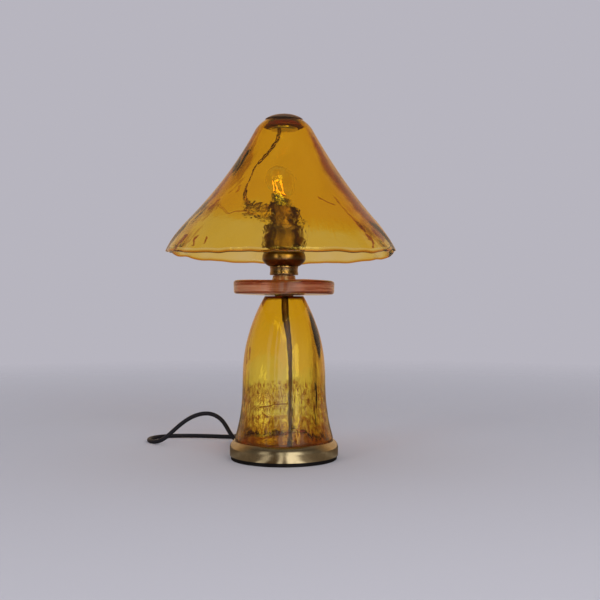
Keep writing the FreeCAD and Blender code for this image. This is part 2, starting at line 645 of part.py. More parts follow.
# ---------------------------------------------------------------- bulb
def make_bulb():
    side = "( bulb_radius%s ) * 0.7333"
    fall = BULB_MIDDLE + " - ( bulb_radius%s ) * 0.68"
    thinner = " - bulb_wall"
    neck_foot = BULB_CAP_TOP + " - bulb_cap_grip"
    keep("bulb_glass", turned("bulb_glass", [
        ("bulb_neck_radius - bulb_wall", neck_foot),
        ("bulb_neck_radius", neck_foot),
        ("bulb_neck_radius", BULB_CAP_TOP),
        (side % "", fall % "", "bulb_neck_curve", RIGHT),
        ("bulb_radius", BULB_MIDDLE, "bulb_radius", LEFT),
        ("0", BULB_TOP, "bulb_radius", LEFT),
        ("0", BULB_TOP + thinner),
        ("bulb_radius - bulb_wall", BULB_MIDDLE, "bulb_radius - bulb_wall", RIGHT),
        (side % thinner, fall % thinner, "bulb_radius - bulb_wall", RIGHT),
        ("bulb_neck_radius - bulb_wall", BULB_CAP_TOP, "bulb_neck_curve + bulb_wall", LEFT),
    ]))
    foot = BULB_FOOT + " + bulb_cap_foot"
    slope = "bulb_cap_slope"
    inner = "bulb_neck_radius + clamp_gap"
    keep("bulb_cap", turned("bulb_cap", [
        ("0", foot),
        ("bulb_cap_radius - bulb_cap_slope * 2", foot),
        ("bulb_cap_radius", foot + " + " + slope),
        ("bulb_cap_radius", BULB_CAP_TOP),
        (inner, BULB_CAP_TOP),
        (inner, foot + " + bulb_cap_slope + bulb_cap_floor"),
        ("bulb_cap_radius - bulb_cap_slope * 2", foot + " + bulb_cap_floor"),
        ("0", foot + " + bulb_cap_floor"),
    ]))
    tip_top = BULB_FOOT + " + bulb_tip_height"
    keep("bulb_insulator", turned("bulb_insulator", [
        ("0", tip_top), ("bulb_tip_radius", tip_top),
        ("bulb_cap_radius - bulb_cap_slope * 2", foot), ("0", foot)]))
    keep("bulb_tip", rod("bulb_tip", "bulb_tip_radius", "bulb_tip_height",
                         ("0", "0", BULB_FOOT), (0, 0, 1)))


def make_filament():
    """A glass stem that carries slim filaments between two wire rings."""
    stem_foot = BULB_FOOT + " + bulb_cap_foot + bulb_cap_floor"
    stem_top = BULB_CAP_TOP + " + stem_height"
    keep("bulb_stem", turned("bulb_stem", [
        ("0", stem_foot), ("stem_radius", stem_foot),
        ("stem_radius", stem_top + " - stem_radius"),
        ("stem_tip_radius", stem_top), ("0", stem_top)]))
    ring_height = stem_top + " - stem_radius * 2"
    filament_foot = ring_height + " + wire_radius"
    upper = filament_foot + " + filament_length + wire_radius"
    wires = []
    for height in (ring_height, upper):
        wires.append(ring("filament_ring", "filament_circle + wire_radius",
                          "filament_circle - wire_radius", height + " - wire_radius",
                          height + " + wire_radius"))
    for side in (1, -1):
        wires.append(rod("filament_spoke", "wire_radius", "filament_circle - stem_radius",
                         ("stem_radius * %d" % side, "0", ring_height), (side, 0, 0)))
    keep("filament_wires", joined("filament_wires", wires))
    filaments = []
    for index in range(FILAMENT_COUNT):
        turn = 2 * math.pi * (index + 0.5) / FILAMENT_COUNT
        place = ("filament_circle * %.6f" % math.cos(turn),
                 "filament_circle * %.6f" % math.sin(turn), filament_foot)
        filaments.append(rod("filament", "filament_radius", "filament_length", place, (0, 0, 1)))
    group = DOC.addObject("Part::Compound", "filaments")
    group.Links = filaments
    keep("filaments", group)


# ---------------------------------------------------------------- arm and clamp
def make_clamp():
    """A split ring round the sleeve: two ears drawn together by a screw, one lug for the arm."""
    bore = "sleeve_radius + clamp_gap"
    outer = bore + " + clamp_wall"
    ear_end = outer + " + ear_length"
    width = "clamp_split + ear_thickness * 2"
    front = "0 - clamp_split / 2 - ear_thickness"
    blank = ring("clamp_blank", outer, bore, CLAMP_FOOT, CLAMP_TOP)
    ears = block("clamp_ears", width, "clamp_wall / 2 + ear_length", "clamp_height",
                 (front, outer + " - clamp_wall / 2", CLAMP_FOOT))
    lug = block("clamp_lug", "clamp_wall / 2 + lug_length", "clamp_height", "clamp_height",
                ("0 - sleeve_radius - clamp_gap - clamp_wall - lug_length",
                 "0 - clamp_height / 2", CLAMP_FOOT))
    split = block("clamp_slot", "clamp_split", "clamp_wall + ear_length", "clamp_height",
                  ("0 - clamp_split / 2", bore + " - clamp_gap", CLAMP_FOOT))
    middle = CLAMP_FOOT + " + clamp_height / 2"
    across = outer + " + ear_length / 2"
    hole = rod("clamp_screw_hole", "screw_radius + clamp_gap", width,
               (front, across, middle), (1, 0, 0))
    body = joined("clamp_body", [blank, ears, lug])
    keep("arm_clamp", cut("arm_clamp", body, [split, hole]))
    shank = rod("clamp_screw_shank", "screw_radius", width + " + screw_nut_height",
                (front, across, middle), (1, 0, 0))
    head = rod("clamp_screw_head", "screw_head_radius", "screw_head_height",
               (front + " - screw_head_height", across, middle), (1, 0, 0))
    keep("clamp_screw", joined("clamp_screw", [shank, head]))
    behind = ("clamp_split / 2 + ear_thickness", across, middle)
    nut_blank = rod("clamp_nut_blank", "screw_head_radius", "screw_nut_height",
                    behind, (1, 0, 0))
    nut_hole = rod("clamp_nut_hole", "screw_radius", "screw_nut_height", behind, (1, 0, 0))
    keep("clamp_nut", cut("clamp_nut", nut_blank, [nut_hole]))


def make_arm():
    """One bent rod from the clamp's lug, round the bulb, up to the hub."""
    lug_end = -number("sleeve_radius + clamp_gap + clamp_wall + lug_length")
    level = number(CLAMP_FOOT + " + clamp_height / 2")
    rise = number(HUB_FOOT) - level
    corners = [Vector(lug_end, 0, level)]
    corners += [Vector(across, 0, level + rise * share) for across, share in ARM_ROUTE]
    corners.append(Vector(ARM_ROUTE[-1][0], 0, level + rise))
    path = rounded_path("shade_arm", corners)
    keep("shade_arm", set_shape("shade_arm", swept("shade_arm", path, number("arm_radius"))))


# ---------------------------------------------------------------- shade and its crown
def inset(radius, height, lean):
    """A corner of the shade's inner face, square through the wall from its outer corner."""
    return (radius + " - shade_wall * %.4f" % math.cos(lean),
            height + " - shade_wall * %.4f" % math.sin(lean))


def make_shade():
    """A bell blown in one: flat crown, full shoulder, long hollow flank and a full skirt, cut
    at its lower edge so that the rim rises towards its left side."""
    foot = SHADE_TOP + " - shade_drop"
    knee = SHADE_TOP + " - shade_knee_drop"
    neck = SHADE_TOP + " - shade_neck_drop"
    body = turned("shade_form", [
        ("shade_rim_radius - shade_wall / %.4f" % math.cos(RIM_LEAN), foot),
        ("shade_rim_radius", foot),
        ("shade_knee_radius", knee, "skirt_curve", LEFT),
        ("shade_neck_radius", neck, "flank_curve", RIGHT),
        ("shade_crown_radius", SHADE_TOP, "crown_curve", LEFT),
        ("shade_hole", SHADE_TOP),
        ("shade_hole", SHADE_CEILING),
        ("shade_crown_radius - shade_wall * %.4f" % math.sin(CROWN_LEAN / 2), SHADE_CEILING),
        inset("shade_neck_radius", neck, NECK_LEAN) + ("crown_curve - shade_wall", RIGHT),
        inset("shade_knee_radius", knee, KNEE_LEAN) + ("flank_curve + shade_wall", LEFT),
    ], ("skirt_curve - shade_wall", RIGHT))
    rim_reach = "shade_rim_radius + rim_shift"
    rim_curve = "( ( %s ) ^ 2 + rim_rise ^ 2 ) / ( rim_rise * 2 )" % rim_reach
    saddle = rod("shade_saddle", rim_curve, "shade_rim_radius * 3",
                 ("rim_shift", "0 - shade_rim_radius * 1.5", foot + " + " + rim_curve),
                 (0, 1, 0))
    trimmed = DOC.addObject("Part::Common", "shade_trimmed")
    trimmed.Base = body
    trimmed.Tool = saddle
    keep("shade_glass", trimmed)


def make_crown():
    stud_hole = "stud_radius"
    free_hole = "stud_radius + tube_clearance"
    keep("arm_hub", turned("arm_hub", [
        (stud_hole, HUB_FOOT), ("hub_radius - hub_height / 2", HUB_FOOT),
        ("hub_radius", HUB_FOOT + " + hub_height / 2"), ("hub_radius", HUB_TOP),
        (stud_hole, HUB_TOP)]))
    keep("shade_plate", turned("shade_plate", [
        (free_hole, HUB_TOP), ("plate_foot_radius", HUB_TOP),
        ("plate_foot_radius", HUB_TOP + " + plate_foot_band"), ("plate_radius", PLATE_TOP),
        (free_hole, PLATE_TOP)]))
    keep("plate_gasket", ring(
        "plate_gasket", "plate_radius - gasket_thickness * 2", "shade_hole",
        PLATE_TOP, SHADE_CEILING))
    keep("crown_stud", rod("crown_stud", "stud_radius",
                           "%s + stud_reach - ( %s )" % (CAP_TOP, HUB_FOOT),
                           ("0", "0", HUB_FOOT), (0, 0, 1)))
    keep("cap_gasket", ring("cap_gasket", "shade_crown_radius - gasket_thickness", "shade_hole",
                            SHADE_TOP, CAP_FOOT))
    keep("crown_cap", turned("crown_cap", [
        ("cap_radius - cap_wall * 2", CAP_FOOT),
        ("cap_radius", CAP_FOOT),
        ("cap_flat_radius", CAP_TOP, "cap_curve", LEFT),
        (free_hole, CAP_TOP),
        (free_hole, CAP_TOP + " - cap_wall"),
        ("cap_flat_radius", CAP_TOP + " - cap_wall"),
    ]))
    bore = "stud_radius + stud_fit"
    bore_top = CAP_TOP + " + stud_reach + bar_end_gap"
    nut_top = CAP_TOP + " + cap_nut_height"
    keep("cap_nut", turned("cap_nut", [
        (bore, CAP_TOP), ("cap_nut_radius", CAP_TOP),
        ("cap_nut_radius", nut_top + " - cap_nut_round"),
        ("cap_nut_radius - cap_nut_round", nut_top, "cap_nut_round", LEFT),
        ("0", nut_top), ("0", bore_top), (bore, bore_top)]))


# ---------------------------------------------------------------- cord, coil and plug
def gland_direction():
    bearing = math.radians(number("gland_bearing"))
    return Vector(math.cos(bearing), math.sin(bearing), 0)


def make_gland():
    """A moulded strain relief: a flange inside the band, a neck and a tapered sleeve."""
    neck = "gland_flange_thickness"
    face = neck + " + base_wall + bar_end_gap"
    gland = turned("cord_gland", [
        ("0", "0"), ("gland_flange", "0"), ("gland_flange", neck),
        ("gland_neck_radius", neck), ("gland_neck_radius", face),
        ("gland_root_radius", face), ("gland_root_radius", face + " + gland_flange_thickness"),
        ("gland_tip_radius", face + " + gland_length"), ("0", face + " + gland_length")])
    out = gland_direction()
    reach = number("base_radius - ( %s )" % face)
    place = out * reach + Vector(0, 0, number("gland_height"))
    gland.Placement = FreeCAD.Placement(place, FreeCAD.Rotation(Vector(0, 0, 1), out))
    keep("cord_gland", gland)


def make_inner_lead():
    """The lead's two cores: across the base, up through the tube, to the terminals."""
    out = gland_direction()
    aside = Vector(-out.y, out.x, 0)
    inner_face = number("base_radius - base_wall - bar_end_gap - gland_flange_thickness")
    level = number(PAD_TOP + " + core_radius * 1.4")
    cup = number(CUP_FOOT)
    end = number(INSULATOR_FOOT + " - terminal_size")
    terminal = number("terminal_offset")
    cores = []
    for side in (1, -1):
        shift = aside * (number("core_spacing") * side)
        entry = [(inner_face, number("gland_height")), (inner_face - 6, number("gland_height")),
                 (inner_face - 18, level), (0.0, level), (0.0, cup)]
        corners = [shift + out * along + Vector(0, 0, height) for along, height in entry]
        spread = 1 if shift.y > 0 else -1
        corners.append(Vector(0, terminal * spread, (cup + end) / 2))
        corners.append(Vector(0, terminal * spread, end))
        path = rounded_path("inner_lead", corners, number("core_bend"))
        cores.append(swept("inner_lead", path, number("core_radius")))
    keep("inner_lead", set_shape("inner_lead", Part.makeCompound(cores)))


def coil_place(turn):
    """The cord's middle after so many turns: in along the lower layer, a climb in half a
    turn where the spiral reverses, and out along the upper layer."""
    pitch = number("cord_radius * 2 + coil_gap")
    inner = number("coil_inner")
    layer = number("coil_layer_turns")
    low = number("cord_height")
    if turn < layer:
        radius, height = inner + pitch * (layer - turn), low
    elif turn < layer + 0.5:
        share = (turn - layer) / 0.5
        radius = inner - pitch * share * (1 - share) / 2
        height = low + pitch * share * share * (3 - 2 * share)
    else:
        radius, height = inner + pitch * (turn - layer - 0.5), low + pitch
    angle = math.pi / 2 - 2 * math.pi * turn
    return Vector(number("coil_x") + radius * math.cos(angle),
                  number("coil_y") + radius * math.sin(angle), height)


def coil_heading(turn):
    """The coil's own direction there: across the middle it is square to the radius."""
    step = 1e-4
    return unit(coil_place(turn + step) - coil_place(turn - step))


def tangent_arc(start, heading, end):
    """The arc that leaves start along heading and passes through end."""
    chord = end - start
    aside = unit(heading - unit(chord) * heading.dot(unit(chord)))
    lean = heading.getAngle(chord)
    middle = start + chord * 0.5 + aside * (chord.Length / 2 * math.tan(lean / 2))
    return Part.Arc(start, middle, end).toShape()


def biarc(start, heading, end, leaving):
    """Two arcs that join two places and keep the direction at both."""
    way = end - start
    both = heading + leaving
    square = 2 * (heading.dot(leaving) - 1)
    product = way.dot(both)
    reach = (product - math.sqrt(product * product - square * way.dot(way))) / square
    meet = (start + heading * reach + end - leaving * reach) * 0.5
    first = tangent_arc(start, heading, meet)
    second = tangent_arc(end, leaving * -1, meet)
    second.reverse()
    return [first, second]


def coil_ends():
    """Where the coil's straight leads begin and end, with their directions."""
    total = number("coil_layer_turns * 2 + 0.5")
    lead = number("cord_radius * 2")
    first, last = coil_heading(0.0002), coil_heading(total - 0.0002)
    return coil_place(0) - first * lead, first, coil_place(total) + last * lead, last


def least_gap():
    """The least gap between turns, measured on points along the coil."""
    total = number("coil_layer_turns * 2 + 0.5")
    count = int(total * 120)
    places = [coil_place(total * index / count) for index in range(count + 1)]
    apart = 40
    least = min((places[i] - places[j]).Length
                for i in range(len(places)) for j in range(i + apart, len(places)))
    return least - number("cord_radius * 2")


def make_coil():
    """The put-away length of the cord: one unbroken tube wound in two layers."""
    total = number("coil_layer_turns * 2 + 0.5")
    layer = number("coil_layer_turns")
    marks = [0.0]
    for stop in (layer, layer + 0.5, total):
        steps = math.ceil((stop - marks[-1]) / 0.25 - 1e-6)
        begin = marks[-1]
        marks += [begin + (stop - begin) * (index + 1) / steps for index in range(steps)]
    start, first, end, last = coil_ends()
    edges = [Part.LineSegment(start, coil_place(0)).toShape()]
    for before, after in zip(marks, marks[1:]):
        heading = first if before == 0 else coil_heading(before)
        leaving = last if after == total else coil_heading(after)
        edges += biarc(coil_place(before), heading, coil_place(after), leaving)
    edges.append(Part.LineSegment(coil_place(total), end).toShape())
    path = Part.Wire(edges)
    keep("cord_coil", set_shape("cord_coil", swept("cord_coil", path, number("cord_radius"))))
    print("cord_coil least gap %.2f" % least_gap())


def make_cord():
    """The free stretches: strain relief to coil, and coil to plug."""
    coil_start, _, coil_end, heading = coil_ends()
    face = number("base_radius + gland_length")
    tip = gland_direction() * face + Vector(0, 0, number("gland_height"))
    corners = [tip] + [Vector(*place) for place in CORD_ROUTE[1:]] + [coil_start]
    path = rounded_path("cord_free", corners)
    keep("cord_free", set_shape("cord_free", swept("cord_free", path, number("cord_radius"))))
    aside = Vector(-heading.y, heading.x, 0)
    tail = [coil_end]
    for along, beside, height in TAIL_ROUTE:
        place = coil_end + heading * along + aside * beside
        tail.append(Vector(place.x, place.y, height))
    path = rounded_path("cord_tail", tail)
    keep("cord_tail", set_shape("cord_tail", swept("cord_tail", path, number("cord_radius"))))
    return tail[-1], heading


def make_plug(place, heading):
    """A flat two-pin plug that lies on the table at the cord's end."""
    turn = FreeCAD.Rotation(Vector(1, 0, 0), heading)
    body = DOC.addObject("PartDesign::Body", "plug_body")
    rear, front = "plug_rear_width / 2", "plug_width / 2"
    sketch = outline_sketch(body, "plug_outline", "XY_Plane", [
        ("0", "plug_width / 2 - plug_rear_width / 2"),
        ("plug_waist", "0"), ("plug_length", "0"), ("plug_length", "plug_width"),
        ("plug_waist", "plug_width"), ("0", "plug_width / 2 + plug_rear_width / 2")])
    pad = body.newObject("PartDesign::Pad", "plug_pad")
    pad.Profile = sketch
    bind(pad, "Length", "plug_thickness")
    DOC.recompute()
    upright = ["Edge%d" % (index + 1) for index, edge in enumerate(pad.Shape.Edges)
               if abs(edge.tangentAt(edge.FirstParameter).z) > 0.9]
    soft = body.newObject("PartDesign::Fillet", "plug_rounding")
    soft.Base = (pad, upright)
    bind(soft, "Radius", "plug_round")
    body.Tip = soft
    corner = Vector(place.x, place.y, number("plug_lift"))
    body.Placement = FreeCAD.Placement(corner - turn.multVec(Vector(0, number(front), 0)), turn)
    keep("plug_body", body)
    pins = []
    for side in ("pin_spacing", "0 - pin_spacing"):
        pins.append(rod("plug_pin", "pin_radius", "pin_length",
                        ("plug_length", side, "plug_thickness / 2"), (1, 0, 0)))
    group = DOC.addObject("Part::Compound", "plug_pins")
    group.Links = pins
    group.Placement = FreeCAD.Placement(corner, turn)
    keep("plug_pins", group)


# ---------------------------------------------------------------- checks and files
def check_and_write():
    DOC.recompute()
    for item in DOC.Objects:
        if "Invalid" in item.State or "Error" in item.State:
            raise RuntimeError("%s did not build: %s" % (item.Name, item.State))
    os.makedirs("parts", exist_ok=True)
    triangles = 0
    for name, item in NODES.items():
        shape = item.Shape
        if shape.isNull() or not shape.isValid():
            raise RuntimeError("%s has no valid shape" % name)
        shape.exportStep("parts/%s.step" % name)
        triangles += len(shape.cleaned().tessellate(FACET_DEFLECTION)[1])
        print("%-22s solids %d volume %.0f" % (name, len(shape.Solids), shape.Volume))
    print(len(NODES), "pieces,", triangles, "facets")


def main():
    fill_sheet()
    make_foot()
    make_brass_base()
    make_base_fixings()
    make_base_glass()
    make_disc_glass()
    make_holder_metal()
    make_lampholder()
    make_switch_bar()
    make_bulb()
    make_filament()
    make_clamp()
    make_arm()
    make_shade()
    make_crown()
    make_gland()
    make_inner_lead()
    make_coil()
    place, heading = make_cord()
    make_plug(place, heading)
    check_and_write()


main()
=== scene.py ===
import math

import bmesh
import bpy
import numpy as np
from bpy.props import FloatProperty, FloatVectorProperty, IntProperty, PointerProperty
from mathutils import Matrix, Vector, noise


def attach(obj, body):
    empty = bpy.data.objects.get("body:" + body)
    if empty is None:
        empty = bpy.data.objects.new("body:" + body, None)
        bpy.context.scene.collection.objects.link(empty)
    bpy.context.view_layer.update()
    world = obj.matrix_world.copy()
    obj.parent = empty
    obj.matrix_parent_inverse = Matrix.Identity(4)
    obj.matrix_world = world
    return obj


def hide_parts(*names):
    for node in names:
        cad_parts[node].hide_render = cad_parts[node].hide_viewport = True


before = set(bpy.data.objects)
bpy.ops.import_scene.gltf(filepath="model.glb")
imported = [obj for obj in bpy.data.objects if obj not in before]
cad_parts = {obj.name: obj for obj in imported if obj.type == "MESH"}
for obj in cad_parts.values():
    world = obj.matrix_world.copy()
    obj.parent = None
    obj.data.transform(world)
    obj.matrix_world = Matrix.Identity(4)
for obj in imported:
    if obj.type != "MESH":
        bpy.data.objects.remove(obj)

bl_info = {
    "name": "Mushroom Table Lamp",
    "version": (1, 0, 0),
    "blender": (4, 5, 0),
    "location": "3D View > Sidebar > Lamp",
    "description": "Dresses the lamp's frame with blown glass, brass, bulb and cord",
    "category": "Object",
}

# The cord's way from the strain relief to the coil, in metres, as corners of its runs.
CORD_WAY = [
    (-0.0627, 0.0722, 0.0110), (-0.0692, 0.0796, 0.0112), (-0.0765, 0.0872, 0.0149),
    (-0.0833, 0.0934, 0.0220), (-0.0892, 0.0976, 0.0320), (-0.0967, 0.1010, 0.0413),
    (-0.1066, 0.1036, 0.0475), (-0.1181, 0.1061, 0.0498), (-0.1304, 0.1080, 0.0482),
    (-0.1434, 0.1096, 0.0432), (-0.1567, 0.1110, 0.0345), (-0.1702, 0.1127, 0.0227),
    (-0.1811, 0.1150, 0.0127), (-0.1916, 0.1188, 0.0056), (-0.2026, 0.1256, 0.0032),
    (-0.2108, 0.1364, 0.0032), (-0.2146, 0.1500, 0.0032), (-0.2130, 0.1645, 0.0032),
    (-0.2056, 0.1770, 0.0032), (-0.1935, 0.1856, 0.0032), (-0.1770, 0.1902, 0.0032),
    (-0.1540, 0.1910, 0.0032), (-0.1260, 0.1876, 0.0032), (-0.0980, 0.1816, 0.0032),
    (-0.0750, 0.1758, 0.0032), (-0.0580, 0.1724, 0.0032),
]
# Height of the plug's middle above the ground.
PLUG_HEIGHT = 0.0069
# The last stretch, from the coil's end: along, aside and above the ground.
TAIL_WAY = [(0.0080, 0.0, 0.0100), (0.0170, 0.001, 0.0086), (0.0260, 0.002, PLUG_HEIGHT),
            (0.0330, 0.002, PLUG_HEIGHT)]
# The rod's way from its clamp up to the hub: across and up.
ARM_WAY = [
    (-0.0259, 0.3442), (-0.0440, 0.3442), (-0.0585, 0.3520), (-0.0610, 0.3700),
    (-0.0555, 0.3890), (-0.0445, 0.4070), (-0.0295, 0.4235), (-0.0155, 0.4355),
    (-0.0070, 0.4470), (-0.0070, 0.4580),
]
# The coil: its middle, its inner radius, the way from turn to turn and the turns of a layer,
# with so many points to a turn.
COIL_MIDDLE = (-0.0360, 0.1260)
COIL_INNER, COIL_PITCH, COIL_TURNS = 0.0261, 0.0070, 2.8125
TURN_POINTS = 16
CORD_HEIGHT, CORD_RADIUS = 0.0032, 0.00315
# Where the cord leaves the brass base: its way out and its height.
CORD_EXIT = Vector((math.cos(math.radians(131)), math.sin(math.radians(131)), 0))
EXIT_HEIGHT = 0.011
# How far the shade's rim rises above its lowest place, by the turn from the front.
RIM_RISE = [(-180, 0.0008), (-135, 0.0034), (-105, 0.0090), (-90, 0.0112), (-75, 0.0100),
            (-45, 0.0028), (0, 0.0014), (45, 0.0030), (62, 0.0076), (75, 0.0128),
            (88, 0.0112), (105, 0.0050), (135, 0.0014), (180, 0.0008)]
# Slopes of the edge where the shade's thick wall ends: down to the right, up to the back.
LEAN_ACROSS, LEAN_BACK = -0.134, 0.095
# Height of the push bar's middle.
PUSH_BAR_HEIGHT = 0.3362


# ------------------------------------------------------------------ sizes and colours
def length(name, description, default):
    """A length that a user would change."""
    return FloatProperty(name=name, description=description, default=default, unit="LENGTH")


def tint(name, description, default):
    """A colour that a user would change."""
    return FloatVectorProperty(name=name, description=description, default=default,
                               size=3, subtype="COLOR", min=0, max=1)


class LampSizes(bpy.types.PropertyGroup):
    """Sizes of the dressed pieces that a user would change."""
    shade_wall: length("Shade wall", "Wall of the shade's upper part", 0.0034)
    skirt_wall: length("Skirt wall", "Wall of the shade's lower part", 0.0019)
    skirt_height: length("Skirt height", "Height where the thick upper wall ends", 0.3363)
    fold_depth: length("Fold depth", "Depth of the folds near the rim's two sides", 0.0011)
    bark_depth: length("Bark depth", "Depth of the bark on the foot glass", 0.0003)
    foot_wall: length("Foot glass wall", "Wall of the foot glass", 0.0036)
    turning_steps: IntProperty(
        name="Steps", description="Steps in one turn of a turned piece", default=128)


class LampColours(bpy.types.PropertyGroup):
    """Colours of the finishes."""
    amber: tint("Amber", "What the amber glass lets through", (0.985, 0.886, 0.0))
    amber_depth: FloatProperty(
        name="Amber depth", description="Density of the amber glass", default=490.0)
    rose: tint("Rose", "Colour of the rose glass disc", (0.47, 0.17, 0.09))
    brass: tint("Brass", "Polished brass of the base", (0.66, 0.53, 0.31))
    bronze: tint("Bronze", "Aged brass of the lampholder", (0.30, 0.17, 0.07))
    cord: tint("Cord", "Sheath of the cord", (0.010, 0.010, 0.014))
    glow: tint("Glow", "Glow of the filaments", (1.0, 0.42, 0.06))
    backdrop: tint("Backdrop", "Colour of floor and backdrop", (0.475, 0.462, 0.520))


# ------------------------------------------------------------------ modelling helpers
def let_go():
    """Leaves edit mode and deselects everything."""
    if bpy.context.object and bpy.context.object.mode != "OBJECT":
        bpy.ops.object.mode_set(mode="OBJECT")
    bpy.ops.object.select_all(action="DESELECT")


def take(piece):
    """Makes the piece the only selected one."""
    let_go()
    piece.select_set(True)
    bpy.context.view_layer.objects.active = piece


def just_added(name):
    """The piece that was just added, with its name."""
    piece = bpy.context.object
    piece.name = piece.data.name = name
    return piece


def modify(piece, kind, **settings):
    """Applies a modifier with these settings."""
    take(piece)
    modifier = piece.modifiers.new(kind.lower(), kind)
    for name, value in settings.items():
        setattr(modifier, name, value)
    bpy.ops.object.modifier_apply(modifier=modifier.name)


def arc_points(start, end, radius, side, count):
    """Points after start along an arc to end, its centre on the named side of the way."""
    start, end = Vector(start), Vector(end)
    half = (end - start) / 2
    aside = Vector((-half.y, half.x)).normalized() * (1 if side == "left" else -1)
    centre = start + half + aside * math.sqrt(max(radius ** 2 - half.length ** 2, 0))
    first = math.atan2(*(start - centre).yx)
    sweep = math.atan2(*(end - centre).yx) - first
    sweep = (sweep + math.pi) % (2 * math.pi) - math.pi
    return [tuple(centre + Vector((math.cos(first + sweep * k / count),
                                   math.sin(first + sweep * k / count))) * radius)
            for k in range(1, count + 1)]


def even_points(start, end, count):
    """Points after start along a straight line to end."""
    start, end = Vector(start), Vector(end)
    return [tuple(start.lerp(end, k / count)) for k in range(1, count + 1)]


def outline(start, *legs):
    """Corners in radius and height from start on. A leg says where it ends, and then nothing
    for one straight step, a count for even steps, or an arc's radius, side and count."""
    here, points = start, [start]
    for radius, height, *way in legs:
        end = (radius, height)
        if len(way) == 3:
            points += arc_points(here, end, *way)
        elif way:
            points += even_points(here, end, *way)
        else:
            points.append(end)
        here = end
    return points


def draw_outline(name, points, closed):
    """A new piece that begins as one corner and is drawn on, corner by corner, in radius
    and height."""
    let_go()
    bpy.ops.mesh.primitive_plane_add(size=0.002)
    piece = just_added(name)
    bpy.ops.object.mode_set(mode="EDIT")
    bpy.ops.mesh.merge(type="CENTER")
    bpy.ops.transform.translate(value=(points[0][0], 0, points[0][1]))
    for before, after in zip(points, points[1:]):
        step = (after[0] - before[0], 0, after[1] - before[1])
        bpy.ops.mesh.extrude_region_move(TRANSFORM_OT_translate={"value": step})
    if closed:
        edit = bmesh.from_edit_mesh(piece.data)
        for corner in edit.verts:
            corner.select = len(corner.link_edges) == 1
        edit.select_flush(True)
        bmesh.update_edit_mesh(piece.data)
        bpy.ops.mesh.edge_face_add()
    return piece


def turned(name, points, closed=True, steps=None):
    """A piece turned about the lamp's axis from its outline."""
    steps = steps or bpy.context.scene.lamp_sizes.turning_steps
    piece = draw_outline(name, points, closed)
    bpy.ops.mesh.select_all(action="SELECT")
    bpy.ops.mesh.spin(steps=steps, angle=2 * math.pi, center=(0, 0, 0), axis=(0, 0, 1))
    bpy.ops.mesh.select_all(action="SELECT")
    bpy.ops.mesh.remove_doubles(threshold=1e-6)
    bpy.ops.mesh.normals_make_consistent(inside=False)
    let_go()
    return piece


def soften(piece, width, segments=2, angle=35):
    """Rounds the piece's sharp edges and smooths its faces."""
    modify(piece, "BEVEL", width=width, segments=segments, limit_method="ANGLE",
           angle_limit=math.radians(angle))
    smooth(piece, 40)


def smooth(piece, angle):
    """Smooths the faces, apart from edges sharper than the angle."""
    take(piece)
    bpy.ops.object.shade_smooth_by_angle(angle=math.radians(angle))


def settle(piece):
    """Puts the piece's place into its mesh."""
    take(piece)
    bpy.ops.object.transform_apply(location=True, rotation=True, scale=True)


def put(piece, turn, place):
    """Turns the piece, brings it to its place and settles it."""
    piece.rotation_mode = "QUATERNION"
    piece.rotation_quaternion = turn
    piece.location = place
    settle(piece)


def join(pieces, name):
    """Makes one piece of several."""
    let_go()
    for piece in pieces:
        piece.select_set(True)
    bpy.context.view_layer.objects.active = pieces[0]
    bpy.ops.object.join()
    pieces[0].name = pieces[0].data.name = name
    return pieces[0]


def finish_piece(piece, body, look, node):
    """Gives the piece its finish, its body and the node that it stands for."""
    piece.data.materials.clear()
    piece.data.materials.append(finish(look))
    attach(piece, body)
    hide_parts(node)


def turned_piece(name, points, edges, body, look, node):
    """A turned piece with rounded edges and its finish."""
    piece = turned(name, points)
    soften(piece, *edges)
    finish_piece(piece, body, look, node)


def corners_of(piece):
    """The places of the piece's corners, one row each."""
    places = np.empty(len(piece.data.vertices) * 3)
    piece.data.vertices.foreach_get("co", places)
    return places.reshape(-1, 3)


def move_corners(piece, places):
    """Moves the piece's corners to these places."""
    piece.data.vertices.foreach_set("co", np.ascontiguousarray(places).ravel())
    piece.data.update()


def ripple(places, across, up, seed):
    """Smooth noise from -1 to 1 round the lamp, with one size round it and one up it."""
    found = np.empty(len(places))
    for index, (x, y, z) in enumerate(places):
        reach = math.hypot(x, y) or 1.0
        where = Vector((x / reach * across, y / reach * across, z * up)) + Vector((seed,) * 3)
        found[index] = noise.noise(where)
    return found


def step_up(values, low, high):
    """0 below low, 1 above high and smooth between."""
    share = np.clip((values - low) / (high - low), 0, 1)
    return share * share * (3 - 2 * share)


def bar(name, radius, start, end, vertices=32):
    """A round bar between two places."""
    start, end = Vector(start), Vector(end)
    way = end - start
    let_go()
    bpy.ops.mesh.primitive_cylinder_add(
        vertices=vertices, radius=radius, depth=way.length, location=(start + end) / 2,
        rotation=way.to_track_quat("Z", "Y").to_euler())
    piece = just_added(name)
    settle(piece)
    return piece


def drill(piece, radius, start, end, vertices):
    """Cuts a round hole from one place to another."""
    cut_out = bar("drill", radius, start, end, vertices)
    modify(piece, "BOOLEAN", operation="DIFFERENCE", object=cut_out, solver="EXACT")
    bpy.data.objects.remove(cut_out)
    smooth(piece, 35)


def thicken(piece, wall, shares=None, use_rim=True):
    """Gives a shell its wall on the inner side. Shares say how much of it each corner gets."""
    settings = {"thickness": wall, "offset": -1, "use_rim": use_rim}
    if shares is not None:
        group = piece.vertex_groups.new(name="wall")
        for index, share in enumerate(shares):
            group.add([index], float(share), "REPLACE")
        settings["vertex_group"] = group.name
    modify(piece, "SOLIDIFY", **settings)
    piece.vertex_groups.clear()


